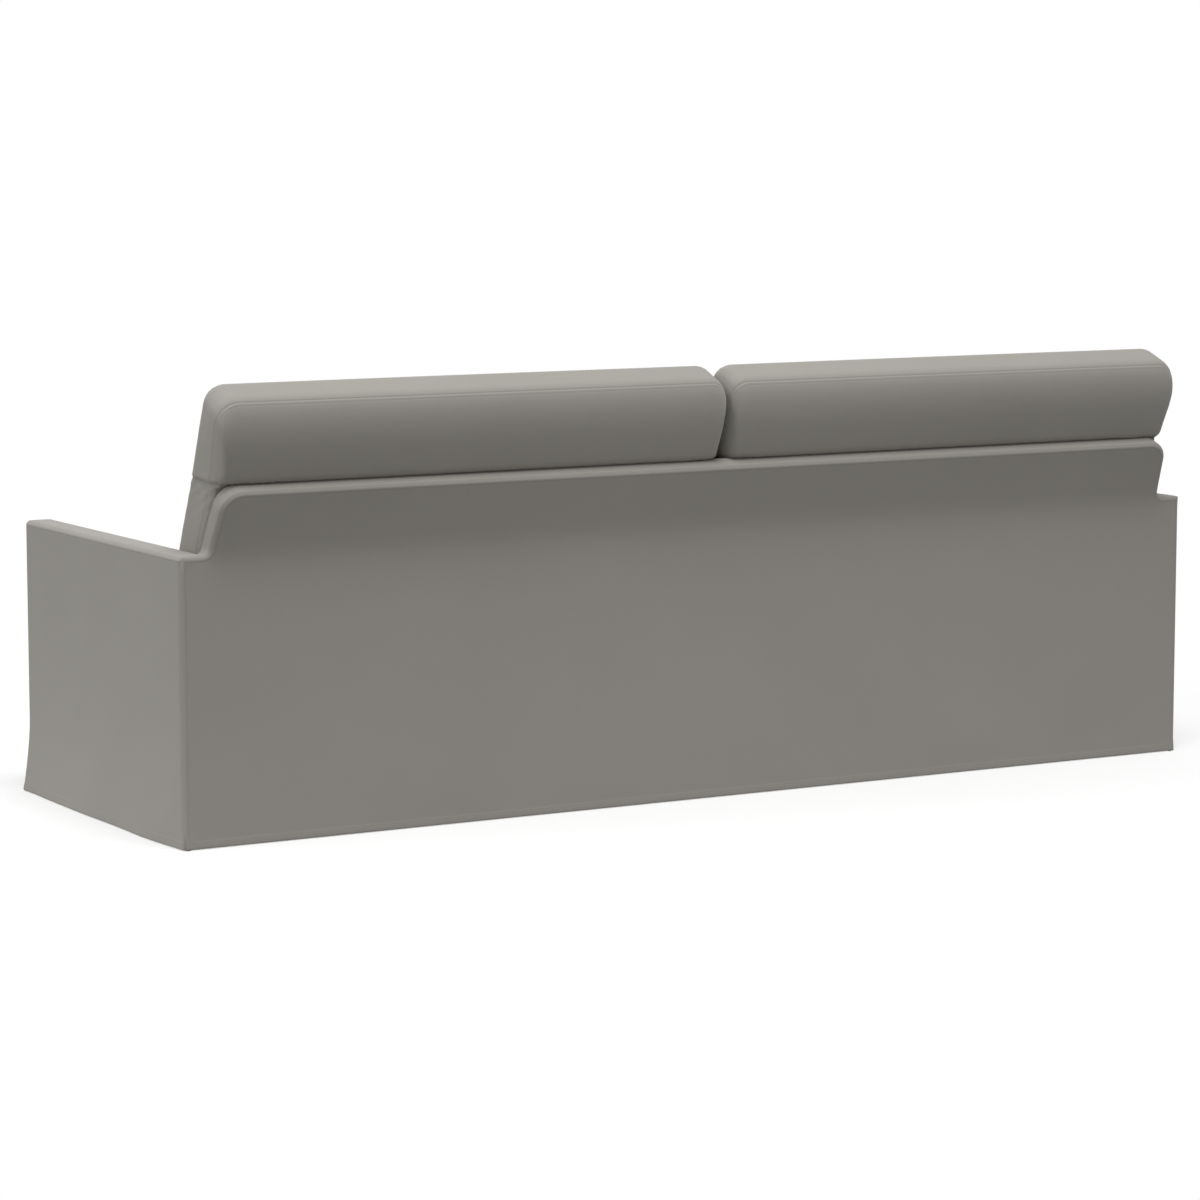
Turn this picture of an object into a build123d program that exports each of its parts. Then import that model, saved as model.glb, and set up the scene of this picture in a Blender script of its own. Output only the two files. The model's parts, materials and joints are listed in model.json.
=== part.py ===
"""Three-seater sofa in a loose slipcover: timber frame, springs, padding, cover and loose cushions.

Millimetres. +X is the sitter's left, the front faces -Y, +Z is up. The origin is on the floor under
the middle of the sofa. Most depths are measured forward from the rear face of the cover, and the
backrest has its own pair of measures: w up along its lean from arm height, t forward from its rear face.
"""

import os
from math import cos, hypot, radians, sin, sqrt

from build123d import *

os.makedirs("parts", exist_ok=True)

# Overall size
WIDTH = 2400
ARM_DEPTH = 790
ARM_HEIGHT = 570
ARM_THICK = 60
ARM_EDGE_R = 11

# Cover cloth, its skirt and the padding under it
COVER_T = 2
PAD_T = 8
HEM_GAP = 1.5
SKIRT_TOP = 150
FLARE = 12
DUST_T = 1
SOFT_GAP = 0.3

# Seat frame
LEG_HEIGHT = 120
RAIL_T = 25
RAIL_HEIGHT = 145
BEAM_WIDTH = 60
BLOCK_SIZE = 70
BLOCK_HEIGHT = 50

# Legs and fasteners
GLIDE_T = 6
GLIDE_R = 17
LEG_TOP_R = 28
LEG_FOOT_R = 20
STUD_R = 5
STUD_REACH = 30
BOLT_R = 4
BOLT_COUNT = 3
BOLT_CLEAR = 15
BOLT_HEAD_R = 9
BOLT_HEAD_T = 5
WASHER_R = 12
WASHER_T = 1.6
NUT_R = 8
NUT_LENGTH = 25
HOLE_GAP = 0.3

# Arm frames
POST_WIDTH = 60
ARM_RAIL_HEIGHT = 40
PANEL_T = 3

# Seat springs, clips and felt
SPRING_COUNT = 10
SPRING_SPACING = 222
SPRING_HALF = 20
SPRING_TURNS = 25
WIRE_R = 1.8
CLIP_LENGTH = 30
CLIP_WIDTH = 16
CLIP_HEIGHT = 8
WIRE_GAP = 0.2
FELT_T = 8

# Backrest
BACK_LEAN = 22.5
BACK_THICK = 44
BACK_RISE = 133
BACK_TAPER = 13
BACK_CORNER_R = 47
BACK_PAD_REAR = 6
WEB_T = 2
WEB_WIDTH = 60
WEB_COUNT = 9
WEB_SPACING = 250
RIB_T = 22
RIB_COUNT = 6
TOP_RAIL_HEIGHT = 22
TOP_RAIL_SHORT = 42
LOWER_RAIL_HEIGHT = 40
LOWER_RAIL_T = 20
LOWER_RAIL_LIFT = 18
BATTEN_HEIGHT = 40
BATTEN_T = 22
TUCK = 1.5

# Seat cushions
SEAT_THICK = 165
SEAT_CROWN = 15
SEAT_NOSE = 10
SEAT_BULGE = 9
SEAT_TOP_R = 28
SEAT_LOW_R = 16
SEAT_CORNER_R = 38
SEAT_REAR_GAP = 1.5
CUSHION_SIDE_GAP = 3
CUSHION_DRAW = 6
WADDING = 26
CORNER_SHARES = (0, 0.05, 0.18, 0.45, 1)
CROWN_SHARES = (0.2, 0.4, 0.7)
END_FLATNESS = 0.9

# Back cushions
CUSHION_ABOVE = 165
CUSHION_THICK = 108
CUSHION_CROWN = 40
CUSHION_OVER = 20
CUSHION_ROLL_T = 52
CUSHION_ROLL_W = 110
CUSHION_FRONT_R = 24
CUSHION_CORNER_R = 40
CUSHION_TOP_CROWN = 4

# Zips
ZIP_LENGTH = 940
ZIP_WIDTH = 24
ZIP_T = 1
SLIDER_LENGTH = 12
SLIDER_WIDTH = 9
SLIDER_T = 4
PULL_LENGTH = 26
PULL_WIDTH = 6
PULL_T = 1.5
ZIP_FROM_REAR = 34

# Worked out from the above
LEAN_SIN = sin(radians(BACK_LEAN))
LEAN_COS = cos(radians(BACK_LEAN))
X_OUT = WIDTH / 2
X_IN = X_OUT - ARM_THICK
LAYER = COVER_T + PAD_T
ARM_WOOD_IN = X_IN + LAYER
ARM_WOOD_OUT = X_OUT - LAYER
WOOD_REAR = LAYER
WOOD_FRONT = ARM_DEPTH - LAYER
RAIL_REAR = WOOD_REAR + RAIL_T
RAIL_FRONT = WOOD_FRONT - RAIL_T
SIDE_RAIL_IN = ARM_WOOD_IN - RAIL_T
RAIL_TOP = LEG_HEIGHT + RAIL_HEIGHT
BLOCK_TOP = LEG_HEIGHT + BLOCK_HEIGHT
FELT_LOW = RAIL_TOP + CLIP_HEIGHT
DECK_LOW = FELT_LOW + FELT_T
DECK_TOP = DECK_LOW + COVER_T
CUSHION_TOP = BACK_RISE + CUSHION_ABOVE
CUSHION_T0 = BACK_THICK + SOFT_GAP
ROLL_MIDDLE_T = CUSHION_T0 - CUSHION_OVER + CUSHION_ROLL_T
ROLL_REACH = hypot(CUSHION_ROLL_W * LEAN_SIN, CUSHION_ROLL_T * LEAN_COS)
OVERHANG = (CUSHION_TOP - CUSHION_ROLL_W) * LEAN_SIN - ROLL_MIDDLE_T * LEAN_COS + ROLL_REACH
REAR = (ARM_DEPTH + SEAT_NOSE + SEAT_BULGE - OVERHANG) / 2
FORWARD = (0, -LEAN_COS, LEAN_SIN)
LEAN = Plane(origin=(0, REAR, ARM_HEIGHT), x_dir=(1, 0, 0), z_dir=FORWARD)


def height_of(w, t):
    """Height above the floor of a point of the backrest."""
    return ARM_HEIGHT + w * LEAN_COS + t * LEAN_SIN


def depth_of(w, t):
    """Depth forward of the rear face of a point of the backrest."""
    return t * LEAN_COS - w * LEAN_SIN


def rise_at(t, z):
    """The w at which the plane t of the backrest passes height z."""
    return (z - ARM_HEIGHT - t * LEAN_SIN) / LEAN_COS


def depth_at(t, z):
    """The depth at which the plane t of the backrest passes height z."""
    return depth_of(rise_at(t, z), t)


def finish(piece, node):
    piece.part.label = node
    export_step(piece.part, f"parts/{node}.step")


def slab(x0, x1, d0, d1, z0, z1, mode=Mode.ADD):
    """A box between two x, two depths and two heights."""
    with Locations(((x0 + x1) / 2, REAR - (d0 + d1) / 2, (z0 + z1) / 2)):
        Box(abs(x1 - x0), d1 - d0, z1 - z0, mode=mode)


def lean_slab(x0, x1, w0, w1, t0, t1, mode=Mode.ADD):
    """A box of the backrest between two x, two rises and two thicknesses."""
    middle = LEAN.from_local_coords(((x0 + x1) / 2, (w0 + w1) / 2, (t0 + t1) / 2))
    with Locations(Plane(origin=middle, x_dir=LEAN.x_dir, z_dir=LEAN.z_dir)):
        Box(x1 - x0, w1 - w0, t1 - t0, mode=mode)


def rod(x, d, z0, z1, radius, mode=Mode.ADD):
    """An upright cylinder between two heights."""
    with Locations((x, REAR - d, (z0 + z1) / 2)):
        Cylinder(radius, z1 - z0, mode=mode)


def cross_rod(x0, x1, d, z, radius, mode=Mode.ADD):
    """A cylinder along x between two x."""
    with Locations(Plane(origin=((x0 + x1) / 2, REAR - d, z), z_dir=(1, 0, 0))):
        Cylinder(radius, abs(x1 - x0), mode=mode)


def mirrored(piece, node):
    """The right-hand twin of a left-hand piece."""
    with BuildPart() as twin:
        mirror(piece.part, about=Plane.YZ)
    finish(twin, node)


def spread(count, spacing):
    """Places along x, evenly spaced about the middle."""
    return [(i - (count - 1) / 2) * spacing for i in range(count)]


# Places of the legs and of the bolts that hold the arms
LEG_X = SIDE_RAIL_IN - BLOCK_SIZE / 2
LEG_DEPTHS = (RAIL_REAR + BLOCK_SIZE / 2, RAIL_FRONT - BLOCK_SIZE / 2)
CORNER_LEGS = [(side * LEG_X, d) for side in (1, -1) for d in LEG_DEPTHS]
CENTRE_LEGS = [(0, d) for d in LEG_DEPTHS]
RIB_FOOT = depth_at(BACK_THICK, DECK_TOP) - TUCK
SPRING_RAIL_FRONT = RIB_FOOT + RAIL_T
BOLT_Z = LEG_HEIGHT + RAIL_HEIGHT / 2
BOLT_MIDDLE = (SPRING_RAIL_FRONT + RAIL_FRONT - BLOCK_SIZE) / 2
BOLT_SPAN = RAIL_FRONT - BLOCK_SIZE - SPRING_RAIL_FRONT - 2 * (WASHER_R + BOLT_CLEAR)
BOLT_DEPTHS = [BOLT_MIDDLE + place for place in spread(BOLT_COUNT, BOLT_SPAN / (BOLT_COUNT - 1))]

# Seat frame rails
with BuildPart() as front_rail:
    slab(-ARM_WOOD_IN, ARM_WOOD_IN, RAIL_FRONT, WOOD_FRONT, LEG_HEIGHT, RAIL_TOP)
finish(front_rail, "front_rail")

with BuildPart() as rear_rail:
    slab(-ARM_WOOD_IN, ARM_WOOD_IN, WOOD_REAR, RAIL_REAR, LEG_HEIGHT, RAIL_TOP)
finish(rear_rail, "rear_rail")

with BuildPart() as left_side_rail:
    slab(SIDE_RAIL_IN, ARM_WOOD_IN, RAIL_REAR, RAIL_FRONT, LEG_HEIGHT, RAIL_TOP)
    for depth in BOLT_DEPTHS:
        cross_rod(SIDE_RAIL_IN, ARM_WOOD_IN, depth, BOLT_Z, BOLT_R + HOLE_GAP, mode=Mode.SUBTRACT)
finish(left_side_rail, "left_side_rail")
mirrored(left_side_rail, "right_side_rail")

with BuildPart() as spring_rail:
    slab(-SIDE_RAIL_IN, SIDE_RAIL_IN, RIB_FOOT, SPRING_RAIL_FRONT, BLOCK_TOP, RAIL_TOP)
finish(spring_rail, "spring_rail")

# The centre beam and the corner blocks take the studs of the legs
with BuildPart() as centre_beam:
    slab(-BEAM_WIDTH / 2, BEAM_WIDTH / 2, RAIL_REAR, RAIL_FRONT, LEG_HEIGHT, BLOCK_TOP)
    for x, depth in CENTRE_LEGS:
        rod(x, depth, LEG_HEIGHT, LEG_HEIGHT + STUD_REACH, STUD_R + HOLE_GAP, mode=Mode.SUBTRACT)
finish(centre_beam, "centre_beam")

with BuildPart() as corner_blocks:
    for x, depth in CORNER_LEGS:
        half = BLOCK_SIZE / 2
        slab(x - half, x + half, depth - half, depth + half, LEG_HEIGHT, BLOCK_TOP)
        rod(x, depth, LEG_HEIGHT, LEG_HEIGHT + STUD_REACH, STUD_R + HOLE_GAP, mode=Mode.SUBTRACT)
finish(corner_blocks, "corner_blocks")


def leg_group(places):
    """Tapered round legs, each with a blind hole in its top for the stud."""
    with BuildPart() as legs:
        for x, depth in places:
            with Locations((x, REAR - depth, (LEG_HEIGHT + GLIDE_T) / 2)):
                Cone(LEG_FOOT_R, LEG_TOP_R, LEG_HEIGHT - GLIDE_T)
            rod(x, depth, LEG_HEIGHT - STUD_REACH, LEG_HEIGHT, STUD_R + HOLE_GAP, mode=Mode.SUBTRACT)
    return legs


finish(leg_group(CORNER_LEGS), "corner_legs")
finish(leg_group(CENTRE_LEGS), "centre_legs")

with BuildPart() as leg_studs:
    for x, depth in CORNER_LEGS + CENTRE_LEGS:
        rod(x, depth, LEG_HEIGHT - STUD_REACH, LEG_HEIGHT + STUD_REACH, STUD_R)
finish(leg_studs, "leg_studs")

with BuildPart() as leg_glides:
    for x, depth in CORNER_LEGS + CENTRE_LEGS:
        rod(x, depth, 0, GLIDE_T, GLIDE_R)
finish(leg_glides, "leg_glides")

# Arm frames: posts, rails and hardboard panels
with BuildPart() as left_arm_posts:
    for d0, d1 in ((WOOD_REAR, WOOD_REAR + POST_WIDTH), (WOOD_FRONT - POST_WIDTH, WOOD_FRONT)):
        slab(ARM_WOOD_IN, ARM_WOOD_OUT, d0, d1, LEG_HEIGHT, ARM_HEIGHT - LAYER - ARM_RAIL_HEIGHT)
finish(left_arm_posts, "left_arm_posts")
mirrored(left_arm_posts, "right_arm_posts")

with BuildPart() as left_arm_top_rail:
    top = ARM_HEIGHT - LAYER
    slab(ARM_WOOD_IN, ARM_WOOD_OUT, WOOD_REAR, WOOD_FRONT, top - ARM_RAIL_HEIGHT, top)
finish(left_arm_top_rail, "left_arm_top_rail")
mirrored(left_arm_top_rail, "right_arm_top_rail")

NUT_IN = ARM_WOOD_OUT - NUT_LENGTH
with BuildPart() as left_arm_bottom_rail:
    d0 = WOOD_REAR + POST_WIDTH
    d1 = WOOD_FRONT - POST_WIDTH
    slab(ARM_WOOD_IN, ARM_WOOD_OUT, d0, d1, LEG_HEIGHT, RAIL_TOP)
    for depth in BOLT_DEPTHS:
        cross_rod(ARM_WOOD_IN, NUT_IN, depth, BOLT_Z, BOLT_R + HOLE_GAP, mode=Mode.SUBTRACT)
        cross_rod(NUT_IN, ARM_WOOD_OUT, depth, BOLT_Z, NUT_R + HOLE_GAP, mode=Mode.SUBTRACT)
finish(left_arm_bottom_rail, "left_arm_bottom_rail")
mirrored(left_arm_bottom_rail, "right_arm_bottom_rail")

with BuildPart() as left_arm_panels:
    for x0, x1 in ((ARM_WOOD_IN, ARM_WOOD_IN + PANEL_T), (ARM_WOOD_OUT - PANEL_T, ARM_WOOD_OUT)):
        slab(
            x0, x1,
            WOOD_REAR + POST_WIDTH, WOOD_FRONT - POST_WIDTH,
            RAIL_TOP, ARM_HEIGHT - LAYER - ARM_RAIL_HEIGHT,
        )
finish(left_arm_panels, "left_arm_panels")
mirrored(left_arm_panels, "right_arm_panels")

# Bolts hold each arm to the side rail of the seat frame
with BuildPart() as arm_bolts:
    for side in (1, -1):
        for depth in BOLT_DEPTHS:
            head = SIDE_RAIL_IN - WASHER_T
            cross_rod(side * (head - BOLT_HEAD_T), side * head, depth, BOLT_Z, BOLT_HEAD_R)
            cross_rod(side * head, side * ARM_WOOD_OUT, depth, BOLT_Z, BOLT_R)
finish(arm_bolts, "arm_bolts")

with BuildPart() as arm_bolt_washers:
    for side in (1, -1):
        for depth in BOLT_DEPTHS:
            ends = (side * (SIDE_RAIL_IN - WASHER_T), side * SIDE_RAIL_IN)
            cross_rod(*ends, depth, BOLT_Z, WASHER_R)
            cross_rod(*ends, depth, BOLT_Z, BOLT_R + HOLE_GAP, mode=Mode.SUBTRACT)
finish(arm_bolt_washers, "arm_bolt_washers")

with BuildPart() as arm_insert_nuts:
    for side in (1, -1):
        for depth in BOLT_DEPTHS:
            ends = (side * NUT_IN, side * ARM_WOOD_OUT)
            cross_rod(*ends, depth, BOLT_Z, NUT_R)
            cross_rod(*ends, depth, BOLT_Z, BOLT_R + HOLE_GAP, mode=Mode.SUBTRACT)
finish(arm_insert_nuts, "arm_insert_nuts")

# Zigzag springs from the spring rail to the front rail, each end in a clip
WIRE_Z = RAIL_TOP + CLIP_HEIGHT / 2
SPRING_ENDS = (SPRING_RAIL_FRONT - RAIL_T / 2, RAIL_FRONT + RAIL_T / 2)
SPRING_PITCH = (SPRING_ENDS[1] - SPRING_ENDS[0]) / SPRING_TURNS
SPRING_XS = spread(SPRING_COUNT, SPRING_SPACING)

with BuildPart() as one_spring:
    with BuildLine(Plane.XY.offset(WIRE_Z)) as wire_path:
        for turn in range(SPRING_TURNS + 1):
            swing = 1 if turn % 2 == 0 else -1
            y = REAR - SPRING_ENDS[0] - turn * SPRING_PITCH
            Line((-swing * SPRING_HALF, y), (swing * SPRING_HALF, y))
            if turn < SPRING_TURNS:
                ThreePointArc(
                    (swing * SPRING_HALF, y),
                    (swing * (SPRING_HALF + SPRING_PITCH / 2), y - SPRING_PITCH / 2),
                    (swing * SPRING_HALF, y - SPRING_PITCH),
                )
    with BuildSketch(Plane(origin=wire_path.line @ 0, z_dir=wire_path.line % 0)):
        Circle(WIRE_R)
    sweep(path=wire_path.wires()[0])

with BuildPart() as seat_springs:
    with Locations(*[(x, 0, 0) for x in SPRING_XS]):
        add(one_spring.part)
finish(seat_springs, "seat_springs")

with BuildPart() as spring_clips:
    for x in SPRING_XS:
        for depth in SPRING_ENDS:
            x0 = x - CLIP_LENGTH / 2
            x1 = x + CLIP_LENGTH / 2
            slab(x0, x1, depth - CLIP_WIDTH / 2, depth + CLIP_WIDTH / 2, RAIL_TOP, FELT_LOW)
            cross_rod(x0, x1, depth, WIRE_Z, WIRE_R + WIRE_GAP, mode=Mode.SUBTRACT)
finish(spring_clips, "spring_clips")

with BuildPart() as seat_felt:
    slab(-X_IN, X_IN, RIB_FOOT, ARM_DEPTH - COVER_T, FELT_LOW, DECK_LOW)
finish(seat_felt, "seat_felt")

# Backrest layers: rear cloth, rear pad, ribs and rails, webbing, front pad, front cloth
RIB_REAR = COVER_T + BACK_PAD_REAR
WEB_FRONT = BACK_THICK - COVER_T - PAD_T
RIB_FRONT = WEB_FRONT - WEB_T
RAIL_W1 = BACK_RISE - LAYER
RAIL_W0 = RAIL_W1 - TOP_RAIL_HEIGHT
LOWER_W0 = rise_at(RIB_FRONT, DECK_TOP) + LOWER_RAIL_LIFT
LOWER_W1 = LOWER_W0 + LOWER_RAIL_HEIGHT
BATTEN_TOP = ARM_HEIGHT - LAYER
RIB_XS = spread(RIB_COUNT, (2 * SIDE_RAIL_IN - RIB_T) / (RIB_COUNT - 1))


def at_rise(w, t):
    """A point of the backrest in the upright plane across the sofa's middle."""
    return (REAR - depth_of(w, t), height_of(w, t))


with BuildPart() as back_ribs:
    foot_w = (RIB_FRONT * LEAN_COS - RIB_FOOT) / LEAN_SIN
    shoulder_w = (RIB_REAR * LEAN_COS - WOOD_REAR) / LEAN_SIN
    for x in RIB_XS:
        with BuildSketch(Plane.YZ.offset(x - RIB_T / 2)):
            Polygon(
                (REAR - RIB_FOOT, BLOCK_TOP),
                at_rise(foot_w, RIB_FRONT),
                at_rise(RAIL_W0, RIB_FRONT),
                at_rise(RAIL_W0, RIB_REAR),
                at_rise(shoulder_w, RIB_REAR),
                (REAR - WOOD_REAR, RAIL_TOP),
                (REAR - RAIL_REAR, RAIL_TOP),
                (REAR - RAIL_REAR, BLOCK_TOP),
                align=None,
            )
        extrude(amount=RIB_T)
    lean_slab(
        -SIDE_RAIL_IN, SIDE_RAIL_IN, LOWER_W0, LOWER_W1, RIB_FRONT - LOWER_RAIL_T, RIB_FRONT,
        mode=Mode.SUBTRACT,
    )
    slab(
        -SIDE_RAIL_IN, SIDE_RAIL_IN, WOOD_REAR, WOOD_REAR + BATTEN_T, BATTEN_TOP - BATTEN_HEIGHT, BATTEN_TOP,
        mode=Mode.SUBTRACT,
    )
finish(back_ribs, "back_ribs")

with BuildPart() as back_top_rail:
    reach = X_IN - BACK_TAPER - TOP_RAIL_SHORT
    lean_slab(-reach, reach, RAIL_W0, RAIL_W1, RIB_REAR, RIB_FRONT)
finish(back_top_rail, "back_top_rail")

with BuildPart() as back_lower_rail:
    lean_slab(-SIDE_RAIL_IN, SIDE_RAIL_IN, LOWER_W0, LOWER_W1, RIB_FRONT - LOWER_RAIL_T, RIB_FRONT)
finish(back_lower_rail, "back_lower_rail")

with BuildPart() as rear_batten:
    slab(
        -SIDE_RAIL_IN, SIDE_RAIL_IN, WOOD_REAR, WOOD_REAR + BATTEN_T, BATTEN_TOP - BATTEN_HEIGHT, BATTEN_TOP
    )
finish(rear_batten, "rear_batten")

with BuildPart() as back_webbing:
    for x in spread(WEB_COUNT, WEB_SPACING):
        lean_slab(x - WEB_WIDTH / 2, x + WEB_WIDTH / 2, LOWER_W0, RAIL_W1, RIB_FRONT, WEB_FRONT)
finish(back_webbing, "back_webbing")


def back_outline(inset):
    """Front view of the backrest: straight between the arms, tapered and round-cornered above them."""
    half = X_IN - inset
    top = BACK_RISE - inset
    low = rise_at(BACK_THICK, DECK_TOP) - BACK_THICK
    with BuildSketch() as outline:
        Polygon(
            (-half, low), (half, low), (half, 0),
            (half - BACK_TAPER, top), (BACK_TAPER - half, top), (-half, 0),
            align=None,
        )
        fillet(outline.vertices().sort_by(Axis.Y)[-2:], BACK_CORNER_R - inset)
    return outline.sketch


BELOW = rise_at(0, 0)

# Back pad: over the front, the top and the leaning rear of the back frame
with BuildPart() as back_pad:
    with BuildSketch(LEAN.offset(COVER_T)):
        add(back_outline(COVER_T))
    extrude(amount=BACK_THICK - 2 * COVER_T)
    pad_rims = back_pad.edges().filter_by(LEAN).sort_by(Axis(LEAN.origin, LEAN.y_dir))[2:]
    fillet(pad_rims, ARM_EDGE_R - COVER_T)
    lean_slab(-X_OUT, X_OUT, BELOW, RAIL_W1, RIB_REAR, WEB_FRONT, mode=Mode.SUBTRACT)
    lean_slab(-X_OUT, X_OUT, BELOW, 0, 0, WEB_FRONT, mode=Mode.SUBTRACT)
    slab(-X_OUT, X_OUT, 0, ARM_DEPTH, 0, DECK_TOP, mode=Mode.SUBTRACT)
finish(back_pad, "back_pad")

with BuildPart() as rear_wadding:
    slab(-X_IN, X_IN, COVER_T, WOOD_REAR, LEG_HEIGHT, ARM_HEIGHT - LAYER / 2)
finish(rear_wadding, "rear_wadding")

with BuildPart() as front_pad:
    slab(-X_IN, X_IN, WOOD_FRONT, ARM_DEPTH - COVER_T, LEG_HEIGHT, FELT_LOW)
finish(front_pad, "front_pad")


def arm_plan(inset, flare):
    """Plan of an arm: rounded front corners, the skirt's flare growing from the rear to the front."""
    front = REAR - ARM_DEPTH + inset
    with BuildSketch() as plan:
        Polygon(
            (X_IN + inset, REAR - COVER_T), (X_OUT - inset, REAR - COVER_T),
            (X_OUT - inset + flare, front - flare), (X_IN + inset, front - flare),
            align=None,
        )
        fillet(plan.vertices().sort_by(Axis.Y)[:2], ARM_EDGE_R - inset)
    return plan.sketch


def arm_form(inset):
    """The arm's outside, or its inside where inset is the thickness of the cloth."""
    with BuildPart() as form:
        with BuildSketch(Plane.XY.offset(SKIRT_TOP)):
            add(arm_plan(inset, 0))
        extrude(amount=ARM_HEIGHT - inset - SKIRT_TOP)
        form_top = form.faces().sort_by(Axis.Z)[-1]
        fillet(form_top.edges() - form_top.edges().group_by(Axis.Y)[-1], ARM_EDGE_R - inset)
        with BuildSketch(Plane.XY.offset(HEM_GAP)):
            add(arm_plan(inset, FLARE))
        with BuildSketch(Plane.XY.offset(SKIRT_TOP)):
            add(arm_plan(inset, 0))
        loft(ruled=True)
    return form.part


# Arm padding: wraps the arm frame on all sides but the bottom and, below the deck, the inside
PAD_INSET = COVER_T + SOFT_GAP
with BuildPart() as left_arm_pad:
    with BuildSketch(Plane.XY.offset(LEG_HEIGHT)):
        add(arm_plan(PAD_INSET, 0))
    extrude(amount=ARM_HEIGHT - PAD_INSET - LEG_HEIGHT)
    pad_rear = left_arm_pad.edges().filter_by(Axis.Z).group_by(Axis.Y)[-1]
    fillet(pad_rear.sort_by(Axis.X)[-1:], ARM_EDGE_R - PAD_INSET)
    fillet(left_arm_pad.faces().sort_by(Axis.Z)[-1].edges(), ARM_EDGE_R - PAD_INSET)
    slab(
        ARM_WOOD_IN, ARM_WOOD_OUT, WOOD_REAR, WOOD_FRONT, LEG_HEIGHT, ARM_HEIGHT - LAYER,
        mode=Mode.SUBTRACT,
    )
    slab(X_IN, ARM_WOOD_IN, COVER_T, ARM_DEPTH, LEG_HEIGHT, FELT_LOW, mode=Mode.SUBTRACT)
finish(left_arm_pad, "left_arm_pad")
mirrored(left_arm_pad, "right_arm_pad")


# Arm cover: a sewn shell over the arm, open at the rear and the floor, and inside below the deck
with BuildPart() as cover_left_arm:
    add(arm_form(0))
    add(arm_form(COVER_T), mode=Mode.SUBTRACT)
    slab(
        X_IN, ARM_WOOD_IN, COVER_T, WOOD_FRONT, HEM_GAP, DECK_LOW,
        mode=Mode.SUBTRACT,
    )
finish(cover_left_arm, "cover_left_arm")
mirrored(cover_left_arm, "cover_right_arm")

# Back cover: upright rear panel over the whole width, and a pocket over the leaning backrest
with BuildPart() as cover_back:
    with BuildSketch(LEAN):
        add(back_outline(0))
    extrude(amount=BACK_THICK)
    with BuildSketch(LEAN.offset(COVER_T)):
        add(back_outline(COVER_T))
    extrude(amount=BACK_THICK - 2 * COVER_T, mode=Mode.SUBTRACT)
    lean_slab(-X_OUT, X_OUT, BELOW, -COVER_T, 0, BACK_THICK - COVER_T, mode=Mode.SUBTRACT)
    slab(-X_OUT, X_OUT, 0, ARM_DEPTH, 0, DECK_TOP, mode=Mode.SUBTRACT)
    slab(-X_OUT, X_OUT, 0, COVER_T, HEM_GAP, ARM_HEIGHT)
    rear_corners = cover_back.edges().filter_by(Axis.Y).filter_by_position(Axis.Z, ARM_HEIGHT, ARM_HEIGHT)
    fillet(rear_corners.group_by(Axis.X)[0] + rear_corners.group_by(Axis.X)[-1], ARM_EDGE_R)
finish(cover_back, "cover_back")

# Front cover between the arms, with the flared skirt
with BuildPart() as cover_front:
    with BuildSketch(Plane.YZ.offset(-X_IN)):
        front = REAR - ARM_DEPTH
        Polygon(
            (front, DECK_TOP), (front, SKIRT_TOP), (front - FLARE, HEM_GAP),
            (front - FLARE + COVER_T, HEM_GAP), (front + COVER_T, SKIRT_TOP), (front + COVER_T, DECK_TOP),
            align=None,
        )
    extrude(amount=2 * X_IN)
finish(cover_front, "cover_front")

with BuildPart() as deck_cloth:
    slab(-X_IN, X_IN, RIB_FOOT, ARM_DEPTH - COVER_T, DECK_LOW, DECK_TOP)
finish(deck_cloth, "deck_cloth")

with BuildPart() as dust_cloth:
    slab(-X_IN, X_IN, WOOD_REAR, WOOD_FRONT, LEG_HEIGHT - DUST_T, LEG_HEIGHT)
    for x, depth in CORNER_LEGS + CENTRE_LEGS:
        rod(x, depth, LEG_HEIGHT - DUST_T, LEG_HEIGHT, LEG_TOP_R + COVER_T, mode=Mode.SUBTRACT)
finish(dust_cloth, "dust_cloth")

# Cushions: the half-width runs from the middle gap to the gap at the arm
CUSHION_X0 = CUSHION_SIDE_GAP / 2
CUSHION_X1 = X_IN - CUSHION_SIDE_GAP
CUSHION_MID = (CUSHION_X0 + CUSHION_X1) / 2
CUSHION_HALF = (CUSHION_X1 - CUSHION_X0) / 2
SEAT_LOW = DECK_TOP + SOFT_GAP
SEAT_EDGE = SEAT_LOW + SEAT_THICK
SEAT_REAR = RIB_FOOT + TUCK + SEAT_REAR_GAP
SEAT_FRONT = ARM_DEPTH + SEAT_NOSE
CUSHION_T1 = CUSHION_T0 + CUSHION_THICK


def both_ends(corner_r, half):
    """Stations along a cushion: x, the round corner's step back, the seam's draw and the share of crown."""
    steps = [share * corner_r for share in CORNER_SHARES] + [share * half for share in CROWN_SHARES]
    ends = []
    for step in steps:
        gap = min(step, corner_r)
        drop = corner_r - sqrt(corner_r**2 - (corner_r - gap) ** 2)
        draw = CUSHION_DRAW * (drop / corner_r) ** 2
        crown = 1 - END_FLATNESS * (1 - step / half) ** 3
        ends.append((half - step, drop, draw, crown))
    return [(-x, *rest) for x, *rest in ends] + [(0, 0, 0, 1)] + ends[::-1]


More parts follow.
